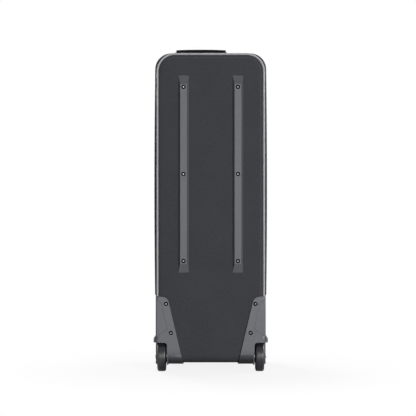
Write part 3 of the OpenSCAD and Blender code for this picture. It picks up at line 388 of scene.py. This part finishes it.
def bead_tree():
    """Small rounded beads at one pitch along a path, lying flat on the surface that the path names."""
    path, pitch, size, finish = open_group("beads on a path", Pitch="Float", Size="Vector", Finish="Material")
    at = Link(path.tree)
    path = at.node("GeometryNodeMeshToCurve", (), {"Mesh": path})
    path = at.node("GeometryNodeResampleCurve", {"mode": "LENGTH"}, {"Curve": path, "Length": pitch})
    bead = at.node("GeometryNodeMeshUVSphere", (), {"Segments": 8, "Rings": 5, "Radius": 0.5})
    bead = at.node("GeometryNodeSetShadeSmooth", (), {"Geometry": bead})
    bead = at.node("GeometryNodeTransform", (), {"Geometry": bead, "Scale": size})
    facing = at.node("GeometryNodeInputNamedAttribute", {"data_type": "FLOAT_VECTOR"}, {"Name": "facing"})
    turn = at.node("FunctionNodeAlignRotationToVector", {"axis": "X"},
                   {"Vector": at.node("GeometryNodeInputTangent")})
    turn = at.node("FunctionNodeAlignRotationToVector", {"axis": "Z", "pivot_axis": "X"},
                   {"Rotation": turn, "Vector": facing})
    return close_group(path, bead, turn, finish)


def grow(name, tree, points, facing=None, breaks=(), **sizes):
    """Runs a Geometry Nodes tree on points in millimetres and keeps the result as a plain mesh.
    With facing, the points are joined into paths, apart from after each place in breaks."""
    seed = bpy.data.meshes.new(name)
    links = [(i, i + 1) for i in range(len(points) - 1) if i not in breaks] if facing else []
    seed.from_pydata([Vector(p) * MM for p in points], links, [])
    if facing:
        layer = seed.attributes.new("facing", "FLOAT_VECTOR", "POINT")
        for entry, direction in zip(layer.data, facing):
            entry.vector = direction
    piece = bpy.data.objects.new(name, seed)
    bpy.context.scene.collection.objects.link(piece)
    work = piece.modifiers.new("grow", "NODES")
    work.node_group = tree
    for item in tree.interface.items_tree:
        if item.in_out == "INPUT" and item.name in sizes:
            work[item.identifier] = sizes[item.name]
    depsgraph = bpy.context.evaluated_depsgraph_get()
    done = bpy.data.meshes.new_from_object(piece.evaluated_get(depsgraph), depsgraph=depsgraph)
    piece.modifiers.clear()
    piece.data = done
    return piece


def thread(name, colour):
    """Sewing thread, with its twist as a fine change of tone."""
    material, at, shader = new_finish(name, colour, 0.7, Sheen_Weight=0.2)
    place = at.node("ShaderNodeTexCoord", output="Object")
    feed(shader, "Base Color", place.noise(700.0).blend(tone(colour, 0.6), tone(colour, 1.4)))
    return material


beads = bead_tree()
grey_thread = thread("grey thread", (0.085, 0.086, 0.092))
STITCH_PITCH, STITCH_SIZE = 0.0042, (0.0032, 0.0008, 0.0007)
STITCH_LOW, STITCH_SINK, STITCH_APART = 206.0, 0.2, 3.2


def lay(name, body, runs, pitch, size, finish):
    """Beads along each run, a list of (x, y, z, facing) in millimetres, as one piece on one body."""
    points, facing, breaks = [], [], set()
    for run in runs:
        points += [p[:3] for p in run]
        facing += [p[3] for p in run]
        breaks.add(len(points) - 1)
    piece = grow(name, beads, points, facing, breaks, Pitch=pitch, Size=size, Finish=finish)
    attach(piece, body)


def stitch(name, body, runs):
    """Rows of lockstitch in grey thread."""
    lay(name, body, runs, STITCH_PITCH, STITCH_SIZE, grey_thread)


def wall_run(y):
    for i, full in enumerate(WALL_FULL):
        if full[1] > STITCH_LOW:
            x, _, z, _, _ = wall_point(i, y)
            yield x - STITCH_SINK * full[2], y, z - STITCH_SINK * full[3], (full[2], 0, full[3])


stitch("wall_stitches", "case",
       [list(wall_run(line + t)) for line in TOP_STITCHES for t in (-STITCH_APART, STITCH_APART)])


# Back panel: foam-backed woven polyester stretched over a stiff board, with a grey vinyl piping in its seam.
# Below, the cloth runs on over the heel and is tucked under the pan between the wheel housings.

GUARD_FOOT, GUARD_TAPER, GUARD_OVERLAP = 70.7, 41.0, 9.0
HEEL, HEEL_LOW = 22.0, 24.0
BACK_PAD, BACK_DIP = 0.5, 2.4
SEAM_INSET, THREAD_LIFT = 7.0, 0.12


def guard_edge(z):
    """Half the width left between the wheel housings' plates at one height."""
    return GUARD_FOOT + GUARD_TAPER * (z - HOUSING_LOW) / HOUSING_RISE


def from_edge(x, z, half, top, radius):
    """Distance inside an outline that is straight at the sides and rounded at its two upper corners."""
    over = abs(x) - half + radius, z - top + radius
    return radius - math.hypot(*over) if min(over) > 0 else min(half - abs(x), top - z)


def inset(edge, depth):
    """An outline's half width, top and corner radius, moved inwards."""
    return [size - depth for size in edge]


BACK_EDGE = PIPE_X - 2.2, PIPE_TOP - 2.4, PIPE_R - 2.3


def back_lift(x, z):
    """The padding's height over the back plane, lower at the piping."""
    return BACK_PAD - (BACK_DIP * (1 - ease(from_edge(x, z, *BACK_EDGE) / 10.0)) if z > 185 else 0.0)


def back_half(z):
    """Half the cover's width: inside the piping above, and tucked under the housings below."""
    round_top = PIPE_TOP - PIPE_R
    reach = PIPE_R - 2.2
    if z > round_top:
        return PIPE_X - PIPE_R + math.sqrt(max(0.0, reach ** 2 - (z - round_top) ** 2))
    full = PIPE_X - PIPE_R + reach
    tuck = guard_edge(z) + GUARD_OVERLAP
    return min(full, tuck + (140 - tuck) * ease((z - 176) / 14)) if z < 192 else full


def back_rows():
    """Rows from the top seam down the back, round the heel and forward under the pan."""
    top = BACK_EDGE[1]
    stations = [(BACK, top - d, 0.0) for d in (0.0, 0.4, 1.0, 2.0, 3.5, 5.5, 8, 11, 15, 20, 26, 32, 38)]
    stations += [(BACK, 780 - 6.0 * i, 0.0) for i in range(123)]
    stations += [(BACK + HEEL - HEEL * math.cos(a), HEEL_LOW + HEEL - HEEL * math.sin(a), a)
                 for a in (math.pi / 2 * i / 10 for i in range(11))]
    stations += [(BACK + HEEL + 5.0 * i, HEEL_LOW, math.pi / 2) for i in range(1, 10)]
    spread = [0.55 * math.sin(math.pi / 2 * t) + 0.45 * t for t in (i / 36 - 1 for i in range(73))]
    last, length = stations[0], 0.0
    for y, z, a in stations:
        length += math.hypot(y - last[0], z - last[1])
        last = (y, z, a)
        half = back_half(z) if a == 0.0 else guard_edge(max(z, HOUSING_LOW)) + GUARD_OVERLAP
        row = []
        for s in spread:
            x = s * half
            lift = back_lift(x, z)
            row.append((x, y - lift * math.cos(a), z - lift * math.sin(a), x, length))
        yield row[::-1]


back_cover = sew("back_cover", list(back_rows()), charcoal, 5.0)
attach(back_cover, "case")
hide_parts("back_panel")

back_run = [(x, BACK - back_lift(x, z) - THREAD_LIFT, z, (0, -1, 0))
            for x, z, *_ in arch(*inset(BACK_EDGE, SEAM_INSET), 204)]
stitch("back_stitches", "case", [back_run])

piping_grey = moulded("piping grey", (0.36, 0.36, 0.375), 0.42, grain=0.0016, depth=0.00012, mottle=0.06)
dress(piping_grey, "back_piping", "front_piping")
dress(moulded("board black", (0.02, 0.02, 0.02), 0.7), "back_board")


# Skid rails: two grey moulded runners that protect the back on steps, each held by three screws
# with domed heads in sunk seats.

# The rails get painted shade in their corners and screw seats.
rail_grey = moulded("rail grey", (0.080, 0.0815, 0.0950), 0.42, mottle=0.10, shine=0.5, painted_crevice_shade=0.5, wear=1.0)
dress(rail_grey, "left_skid_rail", "right_skid_rail", edge=0.0011, segments=3)
SLIVER = 0.00003


def screw_tree():
    """Domed heads with a cross recess, set on points and turned to face one way."""
    points, head, height, turn, finish = open_group("screw heads", Head="Float", Height="Float", Turn="Vector",
                                                    Finish="Material")
    at = Link(points.tree)
    dome = (head * head * 0.25 + height * height) * at.calc("DIVIDE", 0.5, height)
    ball = at.node("GeometryNodeMeshUVSphere", (), {"Segments": 40, "Rings": 60, "Radius": dome})
    drop = at.node("ShaderNodeCombineXYZ", (), {"Z": height - dome})
    ball = at.node("GeometryNodeTransform", (), {"Geometry": ball, "Translation": drop})
    rod = at.node("GeometryNodeMeshCylinder", (), {"Vertices": 32, "Radius": head * 0.5, "Depth": height * 2.0})
    cap = at.node("GeometryNodeMeshBoolean", {"operation": "INTERSECT", "solver": "EXACT"}, {"Mesh 2": ball})
    at.tree.links.new(rod.socket, cap.socket.node.inputs["Mesh 2"])
    lift = at.node("ShaderNodeCombineXYZ", (), {"Z": height})
    cut = at.node("GeometryNodeMeshBoolean", {"operation": "DIFFERENCE", "solver": "EXACT"},
                  {"Mesh 1": cap, "Self Intersection": True})
    for long_axis in ("X", "Y"):
        wide = {"X": head * 0.17, "Y": head * 0.17, "Z": height * 1.1}
        wide[long_axis] = head * 0.58
        bar = at.node("GeometryNodeMeshCube", (), {"Size": at.node("ShaderNodeCombineXYZ", (), wide)})
        bar = at.node("GeometryNodeTransform", (), {"Geometry": bar, "Translation": lift})
        at.tree.links.new(bar.socket, cut.socket.node.inputs["Mesh 2"])
    cut = at.node("GeometryNodeMergeByDistance", (), {"Geometry": cut, "Distance": SLIVER})
    level = at.node("ShaderNodeVectorMath", {"operation": "MULTIPLY"},
                    {0: at.node("GeometryNodeInputPosition"), 1: (1, 1, 0)})
    radius = at.node("ShaderNodeVectorMath", {"operation": "LENGTH"}, {0: level}, 1)
    share = at.calc("DIVIDE", radius, head * 0.5)
    cut = at.node("GeometryNodeStoreNamedAttribute", {"data_type": "FLOAT", "domain": "POINT"},
                  {"Geometry": cut, "Name": "rim", "Value": share})
    return close_group(points, cut, turn, finish)


def metal(name, colour, roughness):
    """Bare metal, with fine scratches that change its gloss."""
    material, at, shader = new_finish(name, colour, roughness, Metallic=1.0)
    place = at.node("ShaderNodeTexCoord", output="Object")
    feed(shader, "Roughness", roughness - 0.06 + 0.12 * place.noise(240.0, 4.0, 0.65))
    feed(shader, "Base Color", place.noise(40.0).blend(tone(colour, 0.86), tone(colour, 1.1)))
    return material


def blacked(name, coat, worn):
    """Blackened steel, rubbed bright where the driver turns in the recess."""
    material, at, shader = new_finish(name, coat, 0.34, Metallic=1.0)
    rim = at.node("ShaderNodeAttribute", {"attribute_name": "rim"}, output="Fac")
    place = at.node("ShaderNodeTexCoord", output="Object")
    bare = rise(rim + 0.3 * place.noise(900.0), 0.40, 0.62, 1.0, 0.0)
    feed(shader, "Base Color", bare.blend(tone(coat, 1.0), tone(worn, 1.0)))
    feed(shader, "Roughness", 0.42 - 0.16 * bare)
    return material


screw_steel = metal("bright steel", (0.60, 0.60, 0.61), 0.3)
screw_black = blacked("blackened screws", (0.022, 0.022, 0.024), (0.20, 0.20, 0.205))
screw_heads = screw_tree()
TO_BACK, TO_FRONT, TO_FLOOR = (math.pi / 2, 0, 0), (-math.pi / 2, 0, 0), (math.pi, 0, 0)
HEAD, DOME = 0.0106, 0.0028


def drive(name, node, turn, points):
    """Screw heads in place of one CAD node, all facing one way."""
    heads = grow(name, screw_heads, points, Head=HEAD, Height=DOME, Turn=turn, Finish=screw_black)
    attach(heads, "case")
    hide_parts(node)


RAIL_X, RAIL_MIDDLE, RAIL_PITCH, RAIL_SEAT = 70.25, 513.5, 225, BACK - 5.5
drive("rail_screw_heads", "rail_screws", TO_BACK,
      [(s * RAIL_X, RAIL_SEAT, RAIL_MIDDLE + i * RAIL_PITCH) for s in (-1, 1) for i in (-1, 0, 1)])


# Wheel housings: grey moulded corners that wrap the heel, with a wheel well, a cheek outside each wheel,
# a brow over the arch and a shallow inlaid panel. Two screws each go through to the board.

GUARD_GREY = (0.102, 0.1035, 0.1195)
# The housings and the fascia both get painted shade in their corners and sunk lines.
GUARD_SKIN = dict(roughness=0.42, mottle=0.12, shine=0.5, painted_crevice_shade=0.6, wear=1.0)
HOUSING_SCREWS, HOUSING_SEAT = ((115.7, 177.5), (103.2, 102.5)), BACK - 2.4
# Painted shade darkens the housings towards the floor, under the heel.
guard_grey = moulded("guard grey", GUARD_GREY, painted_heel_shade=0.92, **GUARD_SKIN)
dress(guard_grey, "left_wheel_housing", "right_wheel_housing", edge=0.0006)
drive("housing_screw_heads", "housing_screws", TO_BACK,
      [(s * x, HOUSING_SEAT, z) for s in (-1, 1) for x, z in HOUSING_SCREWS])


# Wheels: dark grey rubber tyres on black moulded hubs. Each turns on two steel bearings on a bright fixed
# axle, which goes through both sides of its housing and is held by a nut.

def rubber(name, colour, roughness, shine=0.4):
    """Rubber with scuffed, paler patches."""
    material, at, shader = new_finish(name, colour, roughness, Specular_IOR_Level=shine)
    place = at.node("ShaderNodeTexCoord", output="Object")
    scuff = place.noise(120.0, 5.0, 0.65)
    patches = scuff * place.noise(22.0, 3.0) * 1.8
    feed(shader, "Base Color", patches.blend(tone(colour, 0.8), tone(colour, 1.5)))
    feed(shader, "Roughness", roughness - 0.1 + 0.2 * scuff)
    feed(shader, "Normal", at.node("ShaderNodeBump", (), {"Strength": 0.4, "Distance": 0.0002,
                                                          "Height": scuff}))
    return material


dress(rubber("tyre grey", (0.0125, 0.0130, 0.0165), 0.38, shine=0.7), "left_tyre", "right_tyre")
dress(moulded("hub black", (0.016, 0.016, 0.017), 0.4), "left_hub", "right_hub", edge=0.0005)
dress(screw_steel, "axles", "axle_nuts", "left_bearings", "right_bearings")


# Pull handle: a low black grip on two sliding alloy tubes, let into a bezel on the top wall.
# The grey button in the grip frees the latch.

grip_black = moulded("grip black", (0.0050, 0.0050, 0.0055), 0.6, grain=0.0007, mottle=0.12, shine=0.06)
dress(grip_black, "handle_grip")
dress(grip_black, "handle_bezel", edge=0.0006)
dress(moulded("button grey", (0.10, 0.10, 0.105), 0.45), "release_button", edge=0.0006)
tube_alloy = metal("tube alloy", (0.38, 0.38, 0.395), 0.42)
dress(tube_alloy, "handle_tubes", "handle_sleeves")
dress(pan_black, "sleeve_bracket")


# Front panel: the same padded weave above the fascia, stiffened with foam and cut out for the loading hatch.
# It is sewn to the walls under the front piping, and the zip's outer tape is sewn round the opening.

def ring_rows(outer, inner, rings, height):
    """Closed rows from one outline in to another with as many points."""
    for i in range(rings + 1):
        t = i / rings
        row = []
        for a, b in zip(outer, inner):
            x, z = a[0] + (b[0] - a[0]) * t, a[1] + (b[1] - a[1]) * t
            row.append((x, height(x, z), z, x, z))
        yield row[::-1]


def window(half, low, high, radius, counts):
    """A closed outline with rounded top corners, from the lower left up, over, down and back."""
    side, bend, run, foot = counts
    made = [(-half, low + (high - radius - low) * i / side) for i in range(side)]
    made += [(-half + radius - radius * math.cos(math.pi / 2 * i / bend),
              high - radius + radius * math.sin(math.pi / 2 * i / bend)) for i in range(bend)]
    made += [(-half + radius + 2 * (half - radius) * i / run, high) for i in range(run)]
    made += [(half - radius + radius * math.sin(math.pi / 2 * i / bend),
              high - radius + radius * math.cos(math.pi / 2 * i / bend)) for i in range(bend)]
    made += [(half, high - radius - (high - radius - low) * i / side) for i in range(side)]
    made += [(half - 2 * half * i / foot, low) for i in range(foot + 1)]
    return made


FRONT_EDGE, FRONT_LOW = inset((PIPE_X, PIPE_TOP, PIPE_R), 2.4), 430.2
HATCH_HALF, HATCH_LOW, HATCH_HIGH, HATCH_R = 95.0, 600.0, 788.0, 25.0
HATCH_EDGE = HATCH_HALF, HATCH_HIGH, HATCH_R
FRONT_COUNTS, FRONT_RINGS = (44, 12, 30, 30), 26
ZIP_BAND = 7.0


def front_height(x, z):
    """Sinks to the piping at the rim and to the zip at the hatch, with soft padding between them."""
    rim = from_edge(x, z, *FRONT_EDGE)
    hatch = math.hypot(max(0.0, abs(x) - HATCH_HALF), max(0.0, HATCH_LOW - z, z - HATCH_HIGH))
    padding = ease((rim - 6) / 20) * ease((hatch - 9) / 22) * ease((z - 432) / 30)
    return FACE + 0.4 - 2.4 * (1 - ease(rim / 10)) + 1.4 * padding


front_rim = window(FRONT_EDGE[0], FRONT_LOW, FRONT_EDGE[1], FRONT_EDGE[2], FRONT_COUNTS)
mouth = window(HATCH_HALF, HATCH_LOW, HATCH_HIGH, HATCH_R, FRONT_COUNTS)
front_cover = sew("front_cover", list(ring_rows(front_rim, mouth, FRONT_RINGS, front_height)), charcoal, 8.0)
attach(front_cover, "case")
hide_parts("front_panel")


def front_run(edge, foot, height):
    """A run up, over and down an outline, lying on a surface that faces the front."""
    return [(x, height(x, z) + THREAD_LIFT, z, (0, 1, 0)) for x, z, *_ in arch(*edge, foot)]


stitch("front_stitches", "case", [
    front_run(inset(FRONT_EDGE, SEAM_INSET), 436, front_height),
    front_run(inset(HATCH_EDGE, -ZIP_BAND - 1.6), 606, front_height)])


# Loading hatch: a padded flap of the same cloth, folded along its lower edge and closed by a coil zip
# that runs up both sides and over the top.

FLAP_EDGE, FLAP_LOW, FLAP_CROWN = inset(HATCH_EDGE, 0.6), HATCH_LOW + 0.8, 3.4
HEM, HEM_HALF = HATCH_LOW + 9.2, 84


def hatch_height(x, z):
    """A crowned flap that sinks to the zip at its rim and to the fold below."""
    rim = from_edge(x, z, *FLAP_EDGE)
    above = z - FLAP_LOW
    return FACE + 0.3 + FLAP_CROWN * ease((rim - 8) / 26) * ease(above / 14) - 0.8 * (1 - ease(above / 5))


def hatch_rows():
    half, high, radius = FLAP_EDGE
    low = FLAP_LOW
    levels = [low + (high - radius - low) * i / 40 for i in range(40)]
    levels += [high - radius + radius * math.sin(math.pi / 2 * i / 14) for i in range(15)]
    for z in levels:
        width = half
        if z > high - radius:
            width = half - radius + math.sqrt(max(0.0, radius ** 2 - (z - high + radius) ** 2))
        row = []
        for i in range(61):
            x = (i / 30 - 1) * width
            row.append((x, hatch_height(x, z), z, x, z))
        yield row


hatch_cover = sew("hatch_cover", list(hatch_rows()), charcoal, 8.0)
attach(hatch_cover, "hatch")
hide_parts("hatch_panel")

stitch("hatch_stitches", "hatch", [
    front_run(inset(HATCH_EDGE, ZIP_BAND + 2.2), 610, hatch_height),
    [(x, hatch_height(x, HEM) + THREAD_LIFT, HEM, (0, 1, 0)) for x in range(-HEM_HALF, HEM_HALF + 1, 4)]])

FOLD_HALF, FOLD_LOW, FOLD_STEP, FOLD_SWELL = 93.0, HATCH_LOW - 6, 1.2, 1.3


def fold_rows():
    """Rows across the fold, which swells a little between the panel and the flap."""
    for t in range(11):
        y = FACE + 0.5 + FOLD_SWELL * math.sin(math.pi * t / 10)
        row = []
        for i in range(31):
            x = -FOLD_HALF + 6.2 * i
            row.append((x, y, FOLD_LOW + FOLD_STEP * t, x, FOLD_STEP * t))
        yield row


fold = sew("hatch_fold", list(fold_rows()), charcoal, 0.6)
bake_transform(fold)

zip_black = woven("zip black", (0.0125, 0.0125, 0.0140), pitch=0.0008, depth=0.0003, upright=True)
coil_black = moulded("zip coil", (0.018, 0.018, 0.020), 0.35)
COIL_PITCH, COIL_SIZE, COIL_Y = 0.0018, (0.0011, 0.0024, 0.0010), FACE + 0.83
ZIP_SIDES = ("frame_zip_teeth", "case", -0.35, 12.5), ("hatch_zip_teeth", "hatch", 0.95, 13.4)
for name, body, inward, foot in ZIP_SIDES:
    run = front_run(inset(HATCH_EDGE, inward), HATCH_LOW + foot, lambda x, z: COIL_Y)
    lay(name, body, [run], COIL_PITCH, COIL_SIZE, coil_black)
dress(zip_black, "hatch_zip", "frame_zip")
dress(metal("zip metal", (0.22, 0.22, 0.23), 0.35), "zip_slider", "zip_pull", edge=0.0002)


# Fascia: a grey moulded plate screwed to the front of the case, with the ball port's black lip,
# two knobs and the power rocker in a sunk window, and cooling slots below.

# The fascia gets a weaker painted shade towards the floor.
fascia_grey = moulded("fascia grey", GUARD_GREY, painted_heel_shade=0.4, **GUARD_SKIN)
dress(fascia_grey, "front_fascia", edge=0.0007)
dress(grip_black, "speed_dial", "feed_dial", "power_rocker", edge=0.0004)
dress(moulded("port black", (0.012, 0.012, 0.013), 0.42), "launch_barrel", edge=0.0006)
pale_ink = moulded("pale ink", (0.62, 0.62, 0.60), 0.6, mottle=0.05)

DIAL_X, DIAL_Z, DIAL_FACE, WINDOW = 62.0, 378.0, FACE + 8, FACE - 2.2
DIAL_START, TICK_R, TICK_ANGLE = -135, 23.4, math.radians(27)
ROCKER_Y, ROCKER_TILT, RING_R = FACE - 3.7, math.radians(8), 1.7


def printed(name, body, runs, pitch, size):
    """Pad-printed marks in pale ink, built as one thin raised film."""
    lay(name, body, runs, pitch, size, pale_ink)


def tick_run(x):
    for i in range(61):
        a = math.radians(DIAL_START + 4.5 * i)
        yield x + TICK_R * math.sin(a), WINDOW + 0.05, DIAL_Z + TICK_R * math.cos(a), (0, 1, 0)


printed("dial_ticks", "case", [list(tick_run(s * DIAL_X)) for s in (-1, 1)],
        TICK_R * TICK_ANGLE * MM * 0.9995, (0.0008, 0.0034, 0.0002))
for name, body, x in (("left_pointer", "left_dial", -DIAL_X), ("right_pointer", "right_dial", DIAL_X)):
    printed(name, body, [[(x, DIAL_FACE - 0.06, DIAL_Z + r, (0, 1, 0)) for r in (5, 9, 13)]], 0.0006,
            (0.0012, 0.0013, 0.0002))


def on_rocker(x, y, z, ny, nz):
    """A point and its facing on the tilted rocker, from the rocker's own axes."""
    c, s = math.cos(ROCKER_TILT), math.sin(ROCKER_TILT)
    return x, ROCKER_Y + y * c + z * s, DIAL_Z - y * s + z * c, (0, ny * c + nz * s, -ny * s + nz * c)


ring = [(RING_R * math.cos(math.pi * i / 12), -4.6 + RING_R * math.sin(math.pi * i / 12)) for i in range(25)]
printed("switch_marks", "power_switch",
        [[on_rocker(0, 3.2 + 0.25 * z, z, 0.97, -0.243) for z in (3.0, 4.6, 6.2)],
         [on_rocker(x, 3.2 - 0.25 * z, z, 0.97, 0.243) for x, z in ring]], 0.0003, (0.0006, 0.0006, 0.0002))

FASCIA_SCREW_X, FASCIA_SEAT, FASCIA_SCREWS = 129.5, FACE - 1.6, (64, 416)
FOOT_X, FOOT_Y, FOOT_SEAT, FOOT_APART = 98, FACE - 42, 18, 12
drive("fascia_screw_heads", "fascia_screws", TO_FRONT,
      [(s * FASCIA_SCREW_X, FASCIA_SEAT, z) for s in (-1, 1) for z in FASCIA_SCREWS])
drive("foot_screw_heads", "foot_screws", TO_FLOOR,
      [(s * FOOT_X + t * FOOT_APART, FOOT_Y, FOOT_SEAT) for s in (-1, 1) for t in (-1, 1)])


# Hopper and feeder: a black plastic back wall and floor behind the hatch, and a bowl with a pale star of
# three pockets. The star's shaft goes down through the floor into its gear motor, beside a pale chute.

hopper_black = moulded("hopper black", (0.032, 0.032, 0.034), 0.6)
dress(hopper_black, "hopper_back_wall", "hopper_floor", "feeder_bowl")
star_grey = moulded("star grey", (0.40, 0.40, 0.41), 0.5)
dress(star_grey, "feed_star", "feed_chute")
motor_steel = metal("motor steel", (0.33, 0.33, 0.34), 0.4)
dress(motor_steel, "feed_motor", "upper_motor", "lower_motor")


# Launcher: two alloy plates joined by rods carry the rubber flywheels, their bearings and motors.
# The battery lies between the plates and the control board is on the right one.

dress(tube_alloy, "left_chassis_plate", "right_chassis_plate", "upper_flywheel_hub", "lower_flywheel_hub")
dress(screw_steel, "tie_rods", "flywheel_bearings")
dress(rubber("flywheel rubber", (0.022, 0.022, 0.023), 0.7), "upper_flywheel", "lower_flywheel")
dress(moulded("battery black", (0.015, 0.015, 0.016), 0.5), "battery_pack")
dress(moulded("board green", (0.02, 0.11, 0.055), 0.35), "control_board")


# Studio: a white floor and background. A large soft lamp stands to the right of the camera and a weak one
# behind the camera. Four more lamps, in front of the case, at its sides and over it, serve the other views.

FLOOR = 30
floor_mesh = bpy.data.meshes.new("floor")
floor_mesh.from_pydata([(-FLOOR, -FLOOR, 0), (FLOOR, -FLOOR, 0), (FLOOR, FLOOR, 0), (-FLOOR, FLOOR, 0)], [],
                       [(0, 1, 2, 3)])
floor = bpy.data.objects.new("floor", floor_mesh)
bpy.context.scene.collection.objects.link(floor)
floor_white = bpy.data.materials.new("floor white")
floor_white.use_nodes = True
floor_mesh.materials.append(floor_white)
paint = Link(floor_white.node_tree)


def rays(link):
    """Two masks, for what the camera sees and for what shows in metal and glass."""
    path = link.tree.nodes.new("ShaderNodeLightPath").outputs
    seen = Link(link.tree, path["Is Camera Ray"])
    glossy, through = Link(link.tree, path["Is Glossy Ray"]), Link(link.tree, path["Is Transmission Ray"])
    return seen, link.calc("MAXIMUM", glossy, through) * (1 - seen)


seen, mirrored = rays(paint)
diffuse = paint.node("ShaderNodeBsdfDiffuse", (), {"Color": 0.15 + (seen + mirrored) * 0.75})
glow = paint.node("ShaderNodeEmission", (), {"Color": (1, 1, 1, 1), "Strength": 1.0})
middle = paint.node("ShaderNodeTexCoord", output="Object")
away = paint.node("ShaderNodeVectorMath", {"operation": "LENGTH"}, {0: middle}, 1)
white = seen * rise(away, 0.25, 0.65, 0.86, 1.0) + mirrored * rise(away, 0.25, 1.2, 0.0, 1.0)
mixed = paint.node("ShaderNodeMixShader", (), {0: white, 1: diffuse, 2: glow})
paint.tree.links.new(mixed.socket, floor_white.node_tree.nodes["Material Output"].inputs["Surface"])

world = bpy.data.worlds.new("white room")
bpy.context.scene.world = world
world.use_nodes = True
sky = Link(world.node_tree)
seen, mirrored = rays(sky)
heading = sky.node("ShaderNodeSeparateXYZ", (), {0: sky.node("ShaderNodeTexCoord", output="Generated")}, 1)
backdrop = world.node_tree.nodes["Background"]
backdrop.inputs["Color"].default_value = (1, 1, 1, 1)
sky.tree.links.new((0.12 + seen * 0.88 + mirrored * rise(heading, -0.6, 0.2, 0.15, 0.88)).socket,
                   backdrop.inputs["Strength"])


def lamp(name, place, aim, size, watts):
    light = bpy.data.lights.new(name, "AREA")
    light.shape, light.size, light.energy = "DISK", size, watts
    holder = bpy.data.objects.new(name, light)
    holder.location = place
    holder.rotation_euler = (Vector(aim) - Vector(place)).to_track_quat("-Z", "Y").to_euler()
    bpy.context.scene.collection.objects.link(holder)


lamp("key", (2.9, -5.0, 0.85), (0, -0.1, 0.42), 2.6, 310)
lamp("fill", (-0.5, -6.0, 0.8), (0, -0.1, 0.42), 1.4, 46)
lamp("front", (-1.6, 2.8, 1.9), (0, 0.1, 0.4), 1.6, 95)
lamp("left", (-2.4, 2.1, 1.3), (0, 0, 0.42), 1.6, 26)
lamp("right", (2.9, 1.2, 1.3), (0, 0, 0.42), 1.6, 40)
lamp("top", (0.2, 0.4, 2.8), (0, 0, 0.5), 1.4, 14)

camera = bpy.data.objects.new("camera", bpy.data.cameras.new("camera"))
camera.location = (-0.0070, -3.635, 0.4256)
camera.rotation_euler = (math.pi / 2, 0, 0)
camera.data.lens, camera.data.sensor_width = 117.0, 36.0
camera.data.clip_end = 100.0
bpy.context.scene.collection.objects.link(camera)
bpy.context.scene.camera = camera
bpy.context.scene.view_settings.view_transform = "Standard"
